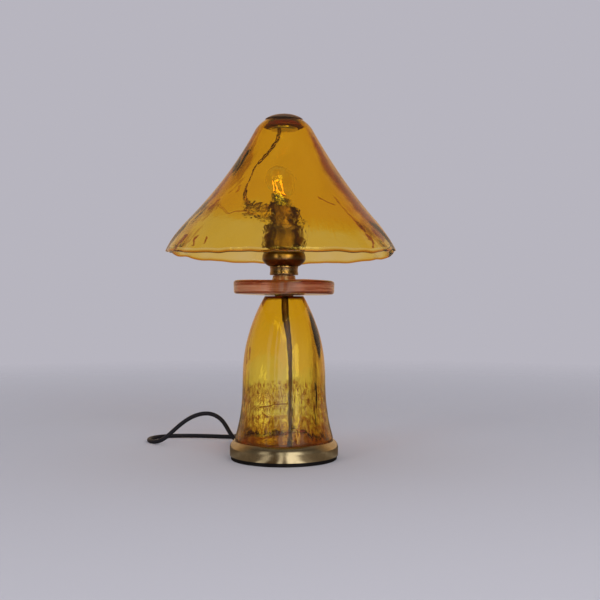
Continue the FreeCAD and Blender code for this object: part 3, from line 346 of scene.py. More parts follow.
def tube_along(name, places, radius, resolution):
    """A round tube on a smooth line with these places as its control points."""
    let_go()
    line = bpy.data.curves.new(name, "CURVE")
    line.dimensions = "3D"
    spline = line.splines.new("NURBS")
    spline.points.add(len(places) - 1)
    for point, place in zip(spline.points, places):
        point.co = (*place, 1)
    spline.order_u = 3
    spline.use_endpoint_u = True
    spline.resolution_u = resolution
    line.bevel_depth = radius
    line.bevel_resolution = 6
    line.use_fill_caps = True
    piece = bpy.data.objects.new(name, line)
    bpy.context.collection.objects.link(piece)
    return piece


# ------------------------------------------------------------------ finishes
# Bright bands that metal reflects: their brightness by the turn from the front in degrees.
WINDOWS = [
    (-180, 0.20), (-130, 0.20), (-110, 0.08), (-54, 0.08), (-48, 0.55), (-35, 0.55),
    (-30, 0.03), (-12, 0.03), (-8, 0.85), (-3, 0.90), (0, 0.12), (5, 0.15), (10, 1.25),
    (32, 1.10), (44, 0.20), (70, 0.08), (110, 0.08), (130, 0.20), (180, 0.20),
]


class Nodes:
    """Short ways to add nodes to a tree."""

    def __init__(self, tree):
        self.nodes, self.links = tree.nodes, tree.links

    def fill(self, socket, value):
        """Links the socket to another one, or sets its value."""
        if isinstance(value, bpy.types.NodeSocket):
            self.links.new(value, socket)
        else:
            socket.default_value = value

    def add(self, kind, **inputs):
        """A new node, with its inputs filled by their names."""
        node = self.nodes.new("ShaderNode" + kind)
        for name, value in inputs.items():
            self.fill(node.inputs[name.replace("_", " ")], value)
        return node

    def place(self, scale=(1, 1, 1)):
        """The piece's own coordinates, stretched."""
        source = self.nodes.new("ShaderNodeTexCoord")
        node = self.add("Mapping", Vector=source.outputs["Object"], Scale=scale)
        return node.outputs["Vector"]

    def noise(self, vector, scale, detail, roughness=0.5, distortion=0.0):
        """Soft noise about 0.5."""
        node = self.add("TexNoise", Vector=vector, Scale=scale, Detail=detail,
                        Roughness=roughness, Distortion=distortion)
        return node.outputs["Fac"]

    def ramp(self, factor, *stops, kind="LINEAR"):
        """Colours or values at places from 0 to 1."""
        node = self.add("ValToRGB", Fac=factor)
        ramp = node.color_ramp
        ramp.interpolation = kind
        while len(ramp.elements) < len(stops):
            ramp.elements.new(1.0)
        for element, (place, colour) in zip(ramp.elements, stops):
            element.position = place
            if isinstance(colour, (int, float)):
                colour = (colour,) * 3
            element.color = (*colour, 1)
        return node.outputs["Color"]

    def span(self, value, low, high, to_low=0.0, to_high=1.0, kind="LINEAR"):
        """The value from low to high, taken to another span and held at its ends."""
        node = self.add("MapRange", Value=value, From_Min=low, From_Max=high,
                        To_Min=to_low, To_Max=to_high)
        node.interpolation_type = kind
        return node.outputs["Result"]

    def sums(self, operation, first, second=0.0):
        """A calculation with one or two values."""
        node = self.nodes.new("ShaderNodeMath")
        node.operation = operation
        self.fill(node.inputs[0], first)
        self.fill(node.inputs[1], second)
        return node.outputs["Value"]

    def total(self, *values):
        """All the values added."""
        found = values[0]
        for value in values[1:]:
            found = self.sums("ADD", found, value)
        return found

    def product(self, *values):
        """All the values multiplied."""
        found = values[0]
        for value in values[1:]:
            found = self.sums("MULTIPLY", found, value)
        return found

    def blend(self, factor, first, second, kind="MIX"):
        """A mix of two colours."""
        node = self.nodes.new("ShaderNodeMix")
        node.data_type = "RGBA"
        node.blend_type = kind
        self.fill(node.inputs[0], factor)
        for socket, colour in ((node.inputs[6], first), (node.inputs[7], second)):
            self.fill(socket, (*colour, 1) if isinstance(colour, tuple) else colour)
        return node.outputs[2]

    def stained(self, colour, *stains):
        """The colour with stains over it: each has its share, its strength and its tint."""
        for share, strength, stain in stains:
            colour = self.blend(self.product(share, strength), colour, stain)
        return colour

    def layered(self, shown, *covers):
        """Shaders laid over the first, each by its share."""
        for share, cover in covers:
            mix = self.add("MixShader", Fac=share)
            self.links.new(shown, mix.inputs[1])
            self.links.new(cover, mix.inputs[2])
            shown = mix.outputs["Shader"]
        return shown

    def spot(self):
        """The piece's own coordinates: X across, Y in depth and Z up."""
        source = self.nodes.new("ShaderNodeTexCoord")
        return self.add("SeparateXYZ", Vector=source.outputs["Object"]).outputs

    def turn_of(self, across, depth):
        """The turn from the lamp's front."""
        return self.sums("ARCTAN2", across, self.product(depth, -1.0))

    def around(self):
        """The turn from the lamp's front, the height, the place across and the depth."""
        parts = self.spot()
        return self.turn_of(parts["X"], parts["Y"]), parts["Z"], parts["X"], parts["Y"]

    def flow(self, turn, height, across, up, detail, roughness=0.5, distortion=0.0):
        """Noise with one size round the lamp and one up it."""
        where = self.add("CombineXYZ", X=self.product(turn, across),
                         Y=self.product(height, up))
        return self.noise(where.outputs["Vector"], 1.0, detail, roughness, distortion)

    def size(self, value):
        """The value without its sign."""
        return self.sums("ABSOLUTE", value)

    def within(self, value, low, high, soft):
        """1 from low to high, falling to 0 over the soft width on both sides."""
        return self.product(self.span(value, low - soft, low, kind="SMOOTHSTEP"),
                            self.span(value, high + soft, high, kind="SMOOTHSTEP"))

    def swell(self, value, reach):
        """Rises at a slope of 1 in the middle and falls softly back to 0 at the reach."""
        return self.product(value, self.span(self.size(value), reach, 0.0, kind="SMOOTHSTEP"))

    def stroke(self, turn, height, line, reach):
        """1 on a line from one turn and height to another, falling to 0 at its width. The
        reach is the radius at which turns count as lengths."""
        start_turn, start_height, end_turn, end_height, width = line
        start = Vector((start_turn * reach, start_height))
        way = Vector((end_turn * reach, end_height)) - start
        across = self.sums("SUBTRACT", self.product(turn, reach), start.x)
        up = self.sums("SUBTRACT", height, start.y)
        along = self.total(self.product(across, way.x / way.length_squared),
                           self.product(up, way.y / way.length_squared))
        along = self.span(along, 0.0, 1.0)
        aside = self.sums("SUBTRACT", across, self.product(along, way.x))
        off = self.sums("SUBTRACT", up, self.product(along, way.y))
        far = self.sums("SQRT", self.total(self.product(aside, aside), self.product(off, off)))
        return self.span(far, width, width * 0.4)

    def strokes(self, turn, height, lines, reach):
        """All the lines, made uneven."""
        wander = self.flow(turn, height, 12, 90, 2.0)
        turn = self.total(turn, self.span(wander, 0.3, 0.7, -0.03, 0.03))
        found = 0.0
        for line in lines:
            found = self.sums("MAXIMUM", found, self.stroke(turn, height, line, reach))
        return found

    def windows(self, across, depth, share=1.0):
        """Brightness of the bands by a share of the turn from the front."""
        turn = self.product(self.turn_of(across, depth), share)
        stops = [((place + 180) / 360, level) for place, level in WINDOWS]
        return self.ramp(self.span(turn, -math.pi, math.pi), *stops)


class Finish(Nodes):
    """A material with a principled shader."""

    def __init__(self, name):
        self.material = bpy.data.materials.new(name)
        self.material.use_nodes = True
        super().__init__(self.material.node_tree)
        self.shader = self.nodes["Principled BSDF"]
        self.output = self.nodes["Material Output"]

    def set(self, **inputs):
        """Fills inputs of the shader by their names."""
        for name, value in inputs.items():
            self.fill(self.shader.inputs[name.replace("_", " ")], value)

    def wall(self, lift):
        """Unevenness of a glass wall. Its sign turns where light leaves the glass, so that
        what is behind looks bent."""
        leaving = self.nodes.new("ShaderNodeNewGeometry").outputs["Backfacing"]
        side = self.span(leaving, 0.0, 1.0, 1.0, -1.0)
        self.bump(self.product(lift, side), 1.0, 1.0)

    def bump(self, height, strength, distance):
        """Relief of the surface."""
        node = self.add("Bump", Height=height, Strength=strength, Distance=distance)
        self.set(Normal=node.outputs["Normal"])

    def lets_lamps_through(self, colour):
        """The lamps' light passes the glass, tinted."""
        path = self.nodes.new("ShaderNodeLightPath").outputs
        clear = self.add("BsdfTransparent", Color=(*colour, 1))
        shown = self.layered(self.shader.outputs["BSDF"],
                             (path["Is Shadow Ray"], clear.outputs["BSDF"]))
        self.links.new(shown, self.output.inputs["Surface"])

    def absorbs(self, colour, density):
        """Colours the light by its way through the material."""
        inside = self.add("VolumeAbsorption", Color=(*colour, 1), Density=density)
        self.links.new(inside.outputs["Volume"], self.output.inputs["Volume"])


def amber(name):
    """Clear amber glass, deeper in colour where it is thicker."""
    colours = bpy.context.scene.lamp_colours
    glass = Finish(name)
    glass.set(Roughness=0.0, IOR=1.5, Transmission_Weight=1.0)
    glass.absorbs(colours.amber, colours.amber_depth)
    glass.lets_lamps_through((0.97, 0.80, 0.35))
    return glass


# Folds in the shade's wall, and wide painted dark reflections along its two outlines as seen
# from the front: turn from the front and height of both ends, and width.
SHADE_MARKS = [
    (-0.961, 0.3045, -1.042, 0.2890, 0.0030), (-0.792, 0.3019, -0.799, 0.2910, 0.0024),
    (-0.653, 0.2998, -0.662, 0.2925, 0.0018), (-0.852, 0.3516, -0.872, 0.3406, 0.0030),
    (-0.609, 0.3698, -0.615, 0.3617, 0.0018), (-1.170, 0.4509, -1.110, 0.4240, 0.0180),
    (-1.110, 0.4240, -1.110, 0.4092, 0.0130), (-1.160, 0.3990, -1.100, 0.3680, 0.0140),
    (-1.040, 0.3640, -1.090, 0.3440, 0.0060), (1.000, 0.4330, 0.930, 0.3950, 0.0230),
    (0.930, 0.3950, 1.060, 0.3609, 0.0260), (1.060, 0.3609, 1.110, 0.3300, 0.0170),
    (0.980, 0.3440, 1.100, 0.3060, 0.0100),
    (0.844, 0.3047, 0.844, 0.2890, 0.0026), (1.114, 0.3259, 1.245, 0.3142, 0.0030),
    (0.981, 0.3114, 1.058, 0.3000, 0.0044), (0.881, 0.4408, 0.900, 0.4280, 0.0018),
    (0.678, 0.3554, 0.722, 0.3307, 0.0013), (0.722, 0.3307, 0.825, 0.3086, 0.0016),
    (0.425, 0.3535, 0.593, 0.3435, 0.0012),
]
# Creases in the foot glass.
FOOT_MARKS = [
    (-0.58, 0.0765, -0.25, 0.0800, 0.0013), (-0.22, 0.0815, 0.08, 0.0823, 0.0011),
    (-0.60, 0.0343, 0.15, 0.0450, 0.0012), (-0.50, 0.0700, -0.36, 0.0640, 0.0012),
    (-1.05, 0.1560, -1.00, 0.1400, 0.0018), (-1.18, 0.1520, -1.12, 0.1340, 0.0014),
]


def shade_amber():
    """Blown glass: deep above a ragged edge, pale below it, dark in its folds. Painted dark
    reflections and painted shade darken it along its outlines.
    """
    glass = amber("shade_amber")
    turn, height, across, depth = glass.around()
    bend = glass.flow(turn, height, 3.2, 6, 2.0)
    brush = glass.flow(turn, height, 34, 22, 4.0, 0.7)
    right = glass.span(turn, -0.3, 0.5)
    edge = glass.total(glass.product(across, LEAN_ACROSS), glass.product(depth, LEAN_BACK),
                       bpy.context.scene.lamp_sizes.skirt_height,
                       glass.span(bend, 0.3, 0.7, -0.008, 0.008))
    ragged = glass.product(glass.span(brush, 0.3, 0.7, -0.022, 0.022), right)
    over = glass.sums("SUBTRACT", height, glass.total(edge, ragged))
    colour = glass.blend(glass.span(over, -0.0008, 0.0012), (1, 1, 1), (1.0, 0.935, 0.58))
    seam = glass.product(glass.within(over, -0.0004, 0.0004, 0.0006),
                         glass.within(turn, -1.25, -0.28, 0.08))
    # Mottled stripe inside the right side.
    mottle = glass.flow(turn, height, 40, 90, 4.0, 0.7)
    stripe = glass.product(glass.within(turn, 0.80, 1.05, 0.10),
                           glass.within(height, 0.305, 0.362, 0.012),
                           glass.span(mottle, 0.44, 0.60))
    # Dark marks: folds near the rim, and wide painted dark reflections along the two outlines.
    marks = glass.strokes(turn, height, SHADE_MARKS, 0.12)
    # Painted shade: a darker tint where the wall turns away at the two outlines seen from the
    # front.
    sides = glass.within(glass.size(turn), 1.36, 1.78, 0.16)
    rim = glass.nodes.new("ShaderNodeAttribute")
    rim.attribute_name = "rim"
    glass.set(Base_Color=glass.stained(
        colour, (seam, 0.75, (0.45, 0.16, 0.03)), (stripe, 0.5, (0.75, 0.35, 0.12)),
        (marks, 0.92, (0.36, 0.065, 0.05)), (sides, 0.8, (0.58, 0.34, 0.24)),
        (rim.outputs["Fac"], 0.9, (0.72, 0.40, 0.12))))
    # The wall's waves: broad ones that shift the bulb, fine ones over the lampholder.
    lens = glass.product(glass.swell(across, 0.072), glass.within(height, 0.380, 0.392, 0.050),
                         0.105)
    waves = glass.flow(turn, height, 7, 42, 2.0, 0.5, 0.5)
    fine = glass.flow(turn, height, 16, 90, 3.0, 0.6, 0.8)
    low = glass.product(glass.span(height, 0.360, 0.335), glass.within(turn, -0.5, 0.5, 0.3))
    glass.wall(glass.total(lens, glass.product(waves, 0.00022),
                           glass.product(fine, low, 0.00028)))
    return glass.material


# Where the foot glass shows the tube beside its place: height and slope of the wall.
TUBE_SHIFT = [(0.020, 0.125), (0.045, 0.175), (0.070, 0.175), (0.095, 0.205),
              (0.128, 0.190), (0.150, 0.165), (0.172, 0.135), (0.195, 0.060),
              (0.215, 0.040)]


def foot_amber():
    """Blown glass: smooth above, with bark that ends in dark strokes below. Painted shade
    darkens its foot, its top under the disc, its outlines and a line near its right side.
    """
    glass = amber("foot_amber")
    turn, height, across = glass.around()[:3]
    aside = glass.size(turn)
    bark = glass.flow(turn, height, 27, 75, 3.0, 0.6, 0.3)
    bend = glass.flow(turn, height, 2.5, 30, 3.0)
    low = glass.span(glass.total(height, glass.product(bend, 0.03)), 0.122, 0.112,
                     kind="SMOOTHSTEP")
    denser = glass.total(bark, glass.span(aside, 0.30, 1.10, 0.0, 0.10),
                         glass.span(height, 0.060, 0.030, 0.0, 0.04))
    marks = glass.sums("MAXIMUM", glass.product(glass.span(denser, 0.605, 0.635), low),
                       glass.strokes(turn, height, FOOT_MARKS, 0.056))
    rust = glass.flow(turn, height, 16, 40, 3.0, 0.6)
    rusty = glass.product(glass.span(rust, 0.54, 0.62), glass.within(aside, 1.0, 1.5, 0.15),
                          glass.span(height, 0.165, 0.060))
    # Painted shade: a dark line near the right outline.
    bent = glass.total(turn, glass.span(bend, 0.3, 0.7, -0.06, 0.06))
    line = glass.product(glass.within(bent, 1.13, 1.155, 0.025),
                         glass.within(height, 0.040, 0.185, 0.02))
    glass.set(Base_Color=glass.stained(
        (1, 1, 1), (marks, 0.9, (0.38, 0.11, 0.025)), (rusty, 0.8, (0.55, 0.14, 0.03)),
        # Painted shade: darker brown towards the foot, where the glass sits in the brass.
        (glass.span(height, 0.040, 0.026), 0.8, (0.50, 0.27, 0.08)),
        (line, 0.8, (0.40, 0.15, 0.06)),
        # Painted shade along the two outlines seen from the front.
        (glass.within(aside, 1.38, 1.76, 0.14), 0.8, (0.60, 0.40, 0.26)),
        # Painted shade: greyer and darker at the top, under the disc.
        (glass.span(height, 0.2210, 0.2235), 1.0, (0.40, 0.34, 0.28))))
    stops = [(place / 0.25, slope) for place, slope in TUBE_SHIFT]
    slope = glass.ramp(glass.span(height, 0.0, 0.25), *stops, kind="B_SPLINE")
    lens = glass.product(glass.swell(across, 0.052), slope, -1.15)
    waves = glass.flow(turn, height, 5, 28, 2.0)
    calm = glass.product(glass.within(aside, 1.05, 2.09, 0.15), 0.7)
    lift = glass.product(glass.total(glass.product(bark, low, 0.00010),
                                     glass.product(waves, 0.0003)),
                         glass.sums("SUBTRACT", 1.0, calm))
    glass.wall(glass.total(lens, lift))
    return glass.material


def rose_glass():
    """Thick rose glass with streaks that lie level in it."""
    colours = bpy.context.scene.lamp_colours
    finish = Finish("rose_glass")
    height, across = finish.around()[1:3]
    layers = finish.noise(finish.place((14, 14, 420)), 1.0, 5.0, 0.65, 0.8)
    bands = finish.ramp(finish.span(height, 0.2273, 0.2483), (0.0, 0.62), (0.10, 0.80),
                        (0.16, 0.30), (0.30, 0.55), (0.60, 0.52), (0.80, 0.34), (0.90, 0.16),
                        (0.97, 0.60))
    mixed = finish.total(finish.product(layers, 0.55), finish.product(bands, 0.5),
                         finish.span(across, -0.02, 0.04, 0.02, -0.04))
    colour = finish.ramp(mixed, (0.34, (0.13, 0.018, 0.005)), (0.44, (0.27, 0.055, 0.022)),
                         (0.52, tuple(colours.rose)), (0.66, (0.66, 0.36, 0.25)))
    centre = finish.span(finish.size(across), 0.022, 0.012, 0.0, 0.65)
    colour = finish.blend(centre, colour, (0.22, 0.07, 0.015))
    finish.set(Base_Color=colour, Roughness=0.10, IOR=1.5, Subsurface_Weight=0.45,
               Subsurface_Scale=0.008, Transmission_Weight=0.35)
    finish.shader.inputs["Subsurface Radius"].default_value = (1.0, 0.45, 0.25)
    finish.bump(finish.noise(finish.place((60, 60, 160)), 1.0, 2.0), 0.12, 0.001)
    return finish.material


def clear_glass():
    """Thin clear glass of the bulb."""
    finish = Finish("clear_glass")
    finish.set(Base_Color=(1.0, 0.99, 0.96, 1), Roughness=0.0, IOR=1.46,
               Transmission_Weight=1.0)
    finish.bump(finish.noise(finish.place(), 60.0, 1.0), 0.02, 0.0005)
    finish.lets_lamps_through((0.98, 0.97, 0.94))
    return finish.material


def brushed_brass(name, colour, shine, patina):
    """Turned brass: fine rings from the lathe and cloudy ageing."""
    finish = Finish(name)
    rings = finish.noise(finish.place((3, 3, 2600)), 1.0, 2.0, 0.7)
    clouds = finish.noise(finish.place(), 38.0, 5.0, 0.6)
    specks = finish.noise(finish.place(), 420.0, 2.0)
    dark = tuple(part * patina for part in colour)
    aged = finish.ramp(clouds, (0.30, dark), (0.62, colour))
    colour_out = finish.blend(finish.span(specks, 0.62, 0.75, 0.0, 0.35), aged, dark)
    rough = finish.total(finish.span(clouds, 0.3, 0.7, shine + 0.10, shine),
                         finish.product(rings, 0.08))
    finish.set(Base_Color=colour_out, Metallic=1.0, Roughness=rough)
    finish.bump(rings, 0.05, 0.0002)
    return finish.material


def grained(name, scale, detail, low, high, rough, bump=None, start=0.3, **inputs):
    """A finish that a fine grain takes from a low to a high colour. The roughness follows the
    grain where it is given as a pair."""
    finish = Finish(name)
    grain = finish.noise(finish.place(), scale, detail)
    if isinstance(rough, tuple):
        rough = finish.span(grain, 0.3, 0.7, *rough)
    finish.set(Base_Color=finish.ramp(grain, (start, low), (0.7, high)), Roughness=rough,
               **inputs)
    if bump:
        finish.bump(grain, *bump)
    return finish.material


def soft_black(name, colour, roughness, scale):
    """Matt rubber or moulded plastic."""
    lighter = tuple(part * 1.9 for part in colour)
    return grained(name, scale, 3.0, colour, lighter, (roughness - 0.06, roughness + 0.08),
                   (0.12, 0.0002), 0.35, Specular_IOR_Level=0.25)


def glowing():
    """Filaments that glow unevenly."""
    colours = bpy.context.scene.lamp_colours
    finish = Finish("glowing_filament")
    uneven = finish.noise(finish.place(), 260.0, 2.0)
    glow = finish.ramp(uneven, (0.3, (1.0, 0.30, 0.03)), (0.7, tuple(colours.glow)))
    finish.set(Base_Color=(0.9, 0.5, 0.2, 1), Roughness=0.5, Emission_Color=glow,
               Emission_Strength=1.6)
    return finish.material


FINISHES = {}


def make_finish(name):
    """A new finish by its name."""
    colours = bpy.context.scene.lamp_colours
    return {
        "shade_amber": shade_amber,
        "foot_amber": foot_amber,
        "rose_glass": rose_glass,
        "clear_glass": clear_glass,
        "brass": lambda: brushed_brass("brass", tuple(colours.brass), 0.11, 0.62),
        "bronze": lambda: brushed_brass("bronze", tuple(colours.bronze), 0.22, 0.35),
        "tube": lambda: brushed_brass("tube", (0.15, 0.08, 0.03), 0.45, 0.55),
        "rod": lambda: brushed_brass("rod", (0.26, 0.15, 0.08), 0.30, 0.55),
        "cap": lambda: brushed_brass("cap", (0.72, 0.52, 0.42), 0.30, 0.60),
        "collar": lambda: brushed_brass("collar", (0.40, 0.25, 0.12), 0.16, 0.50),
        "steel": lambda: grained("plated_steel", 150.0, 4.0, (0.42, 0.41, 0.38),
                                 (0.68, 0.67, 0.64), (0.22, 0.38), (0.04, 0.0003),
                                 Metallic=1.0),
        "iron": lambda: grained("cast_iron", 500.0, 4.0, (0.03, 0.03, 0.03),
                                (0.09, 0.085, 0.08), 0.7, (0.5, 0.0004), Metallic=0.6),
        "pad": lambda: soft_black("pad_rubber", (0.004, 0.003, 0.003), 0.85, 400.0),
        "cord": lambda: soft_black("cord_sheath", tuple(colours.cord), 0.42, 900.0),
        "moulding": lambda: soft_black("moulding", (0.012, 0.012, 0.013), 0.3, 250.0),
        "pale_rubber": lambda: grained("pale_rubber", 240.0, 3.0, (0.14, 0.10, 0.06),
                                       (0.22, 0.17, 0.11), 0.65, (0.1, 0.0003)),
        "core_sheath": lambda: grained("core_sheath", 300.0, 2.0, (0.16, 0.07, 0.03),
                                       (0.24, 0.11, 0.05), 0.45),
        "red_lacquer": lambda: grained("red_lacquer", 90.0, 4.0, (0.08, 0.005, 0.003),
                                       (0.15, 0.012, 0.006), 0.6),
        "glow": glowing,
    }[name]()


def finish(name):
    """Makes each finish once."""
    if name not in FINISHES:
        FINISHES[name] = make_finish(name)
    return FINISHES[name]


# ------------------------------------------------------------------ operators
class LAMP_OT_stage(bpy.types.Operator):
    """Camera, floor, backdrop and soft light"""
    bl_idname = "lamp.stage"
    bl_label = "Stage"

    def execute(self, context):
        scene = context.scene
        backdrop = tuple(scene.lamp_colours.backdrop)
        scene.view_settings.view_transform = "Standard"
        let_go()
        bpy.ops.object.camera_add(location=(0.0224, -1.260, 0.217),
                                  rotation=(math.pi / 2, 0, 0))
        camera = context.object
        camera.data.lens = 54.0
        camera.data.sensor_width = 36.0
        camera.data.shift_y = 0.005
        camera.data.clip_start = 0.01
        scene.camera = camera
        self.floor(backdrop)
        self.backdrop(scene, backdrop)
        self.lamp("window", (0.95, -1.95, 0.75), (1.0, 1.5), 20)
        self.lamp("strip", (-0.14, -2.25, 0.75), (0.22, 1.4), 5)
        self.lamp("side", (-1.45, -1.70, 0.70), (0.45, 1.4), 7)
        return {"FINISHED"}

    def floor(self, backdrop):
        """A floor that fades into the backdrop. Reflections find it dark, with the bands in
        front of the lamp. What is seen through glass finds the backdrop."""
        bpy.ops.mesh.primitive_circle_add(vertices=96, radius=2.4, fill_type="NGON",
                                          location=(0, 0, 0))
        floor = bpy.context.object
        floor.name = "floor"
        made = Finish("floor")
        made.set(Base_Color=(0.62, 0.605, 0.67, 1), Roughness=0.9)
        across, depth = made.around()[2:]
        reach = made.sums("SQRT", made.total(made.product(across, across),
                                             made.product(depth, depth)))
        windows = made.product(made.windows(across, depth, 1.54),
                               made.span(depth, -0.03, 0.03, 1.0, 0.2))
        shine = made.blend(1.0, (0.075, 0.045, 0.022), windows, "ADD")
        clear = made.nodes.new("ShaderNodeBsdfTransparent")
        path = made.nodes.new("ShaderNodeLightPath").outputs
        covers = [(path[ray], made.add("Emission", Color=colour, Strength=strength))
                  for ray, colour, strength in (("Is Glossy Ray", shine, 1.0),
                                                ("Is Transmission Ray", (*backdrop, 1), 1.1))]
        covers.append((made.span(reach, 0.55, 2.2), clear))
        shown = made.layered(made.shader.outputs["BSDF"],
                             *[(share, cover.outputs[0]) for share, cover in covers])
        made.links.new(shown, made.output.inputs["Surface"])
        floor.data.materials.append(made.material)

    def backdrop(self, scene, backdrop):
        """A plain backdrop for the camera, dim surroundings with bright bands for
        reflections, the backdrop again for what is seen through glass, and soft fill light."""
        world = bpy.data.worlds.new("studio")
        scene.world = world
        world.use_nodes = True
        made = Nodes(world.node_tree)
        made.nodes.clear()
        path = made.nodes.new("ShaderNodeLightPath").outputs
        way = made.nodes.new("ShaderNodeTexCoord").outputs["Generated"]
        parts = made.add("SeparateXYZ", Vector=way).outputs
        behind = made.span(parts["Y"], -0.10, 0.45, 0.08, 1.0)
        above = made.span(parts["Z"], 0.55, 0.90)
        room = made.blend(above, made.blend(behind, (0.02, 0.015, 0.01), (0.36, 0.20, 0.07)),
                          (0.13, 0.12, 0.12))
        level = made.span(parts["Z"], 0.70, 0.45)
        room = made.blend(level, room, made.windows(parts["X"], parts["Y"]), "ADD")
        through = made.blend(made.span(parts["Y"], 0.0, 0.60), (0.24, 0.11, 0.05),
                             tuple(part * 1.10 for part in backdrop))
        fill = made.add("Background", Color=(0.93, 0.95, 1.0, 1), Strength=0.55)
        skies = (("Is Transmission Ray", through), ("Is Glossy Ray", room),
                 ("Is Camera Ray", (*backdrop, 1)))
        shown = made.layered(fill.outputs["Background"],
                             *[(path[ray], made.add("Background", Color=colour).outputs[0])
                               for ray, colour in skies])
        output = made.nodes.new("ShaderNodeOutputWorld")
        made.links.new(shown, output.inputs["Surface"])

    def lamp(self, name, place, size, power):
        """A soft light that looks at the lamp's middle."""
        aim = Vector((0, 0, 0.25)) - Vector(place)
        bpy.ops.object.light_add(type="AREA", location=place,
                                 rotation=aim.to_track_quat("-Z", "Y").to_euler())
        light = bpy.context.object
        light.name = name
        light.data.shape = "RECTANGLE"
        light.data.size, light.data.size_y = size
        light.data.energy = power
        light.data.color = (1.0, 0.985, 0.96)
        light.visible_glossy = False


def coil_place(turn):
    """The coil's line after so many turns: in along the lower layer, a climb in half a turn
    and out along the upper layer."""
    if turn < COIL_TURNS:
        radius, height = COIL_INNER + COIL_PITCH * (COIL_TURNS - turn), CORD_HEIGHT
    elif turn < COIL_TURNS + 0.5:
        share = (turn - COIL_TURNS) / 0.5
        radius = COIL_INNER - COIL_PITCH * share * (1 - share) / 2
        height = CORD_HEIGHT + COIL_PITCH * share * share * (3 - 2 * share)
    else:
        radius = COIL_INNER + COIL_PITCH * (turn - COIL_TURNS - 0.5)
        height = CORD_HEIGHT + COIL_PITCH
    radius /= 0.5 + 0.5 * math.cos(2 * math.pi / TURN_POINTS)
    angle = math.pi / 2 - 2 * math.pi * turn
    return Vector((COIL_MIDDLE[0] + radius * math.cos(angle),
                   COIL_MIDDLE[1] + radius * math.sin(angle), height))


class LAMP_OT_cord(bpy.types.Operator):
    """Cord with its put-away coil, strain relief and flat plug"""
    bl_idname = "lamp.cord"
    bl_label = "Cord"

    def execute(self, context):
        total = COIL_TURNS * 2 + 0.5
        count = round(total * TURN_POINTS)
        coil = [coil_place(total * index / count) for index in range(count + 1)]
        heading = (coil_place(total) - coil_place(total - 0.001)).normalized()
        aside = Vector((-heading.y, heading.x, 0))
        start = coil[0] - (coil[1] - coil[0]).normalized() * CORD_RADIUS * 2
        end = coil[-1] + heading * CORD_RADIUS * 2
        tail = []
        for along, beside, height in TAIL_WAY:
            place = end + heading * along + aside * beside
            tail.append(Vector((place.x, place.y, height)))
        way = [Vector(place) for place in CORD_WAY] + [start] + coil + [end] + tail
        cord = tube_along("cord", way, CORD_RADIUS, 6)
        cord.data.materials.append(finish("cord"))
        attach(cord, "base")
        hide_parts("cord_free", "cord_coil", "cord_tail")
        plug = self.plug(tail[-1], heading)
        pins = self.pins(tail[-1], heading)
        self.gland()
        return {"FINISHED"}

    def plug(self, place, heading):
        """A flat body: a block narrowed towards the cord, with soft edges."""
        let_go()
        bpy.ops.mesh.primitive_cube_add(size=1, location=(0.018, 0, PLUG_HEIGHT))
        plug = just_added("plug_shell")
        plug.scale = (0.036, 0.035, 0.0137)
        settle(plug)
        bpy.ops.object.mode_set(mode="EDIT")
        for cut in (0.016, 0.009):
            bpy.ops.mesh.select_all(action="SELECT")
            bpy.ops.mesh.bisect(plane_co=(cut, 0, 0), plane_no=(1, 0, 0), use_fill=False)
        bpy.ops.object.mode_set(mode="OBJECT")
        for corner in plug.data.vertices:
            if corner.co.x < 0.012:
                width, thickness = (0.40, 0.72) if corner.co.x < 0.001 else (0.72, 0.92)
                corner.co.y *= width
                corner.co.z = PLUG_HEIGHT + (corner.co.z - PLUG_HEIGHT) * thickness
        soften(plug, 0.0022, 4, 20)
        put(plug, heading.to_track_quat("X", "Z"), (place.x, place.y, 0))
        finish_piece(plug, "base", "moulding", "plug_body")
        return plug

    def pins(self, place, heading):
        """Two round pins at the plug's far end."""
        aside = Vector((-heading.y, heading.x, 0))
        pins = []
        for side in (1, -1):
            start = place + heading * 0.036 + aside * 0.0093 * side
            pin = bar("plug_pin", 0.0020, start, start + heading * 0.019, 20)
            soften(pin, 0.0008, 3)
            pins.append(pin)
        pins = join(pins, "pins")
        finish_piece(pins, "base", "steel", "plug_pins")
        return pins

    def gland(self):
        """A ribbed, tapering sleeve where the cord leaves the base."""
        line = [(0, 0.0), (0.0056, 0.0), (0.0056, 0.0020), (0.0044, 0.0020),
                (0.0044, 0.0035), (0.0054, 0.0035), (0.0054, 0.0055)]
        for index in range(5):
            height = 0.0060 + index * 0.0032
            radius = 0.0052 - index * 0.00026
            line += [(radius, height), (radius, height + 0.0016),
                     (radius - 0.0005, height + 0.0019), (radius - 0.0005, height + 0.0029)]
        line += [(0.0041, 0.0222), (0.0040, 0.0235), (0.0033, 0.0235), (0, 0.0235)]
        gland = turned("strain_relief", line, True, 40)
        soften(gland, 0.0003, 2, 40)
        put(gland, CORD_EXIT.to_track_quat("Z", "Y"),
            CORD_EXIT * 0.0721 + Vector((0, 0, EXIT_HEIGHT)))
        finish_piece(gland, "base", "cord", "cord_gland")


class LAMP_OT_base(bpy.types.Operator):
    """Foot pad and the spun brass base"""
    bl_idname = "lamp.base"
    bl_label = "Base"

    def execute(self, context):
        turned_piece("pad", [(0, 0), (0.0740, 0), (0.0740, 0.0050), (0, 0.0050)],
                     (0.0006, 2), "base", "pad", "foot_pad")
        line = outline((0.0744, 0.0050), (0.0756, 0.0054), (0.0756, 0.0170, 3),
                       (0.0698, 0.0260, 0.013, "left", 10), (0.0686, 0.0260),
                       (0.0686, 0.0225), (0.0052, 0.0225), (0.0052, 0.0213),
                       (0.0686, 0.0213), (0.0744, 0.0164))
        shell = turned("brass_dish", line, True, 160)
        soften(shell, 0.0003, 2, 50)
        # The cord's hole through the band.
        middle = Vector((0, 0, EXIT_HEIGHT))
        drill(shell, 0.0045, CORD_EXIT * 0.066 + middle, CORD_EXIT * 0.082 + middle, 32)
        finish_piece(shell, "base", "brass", "brass_base")
        return {"FINISHED"}


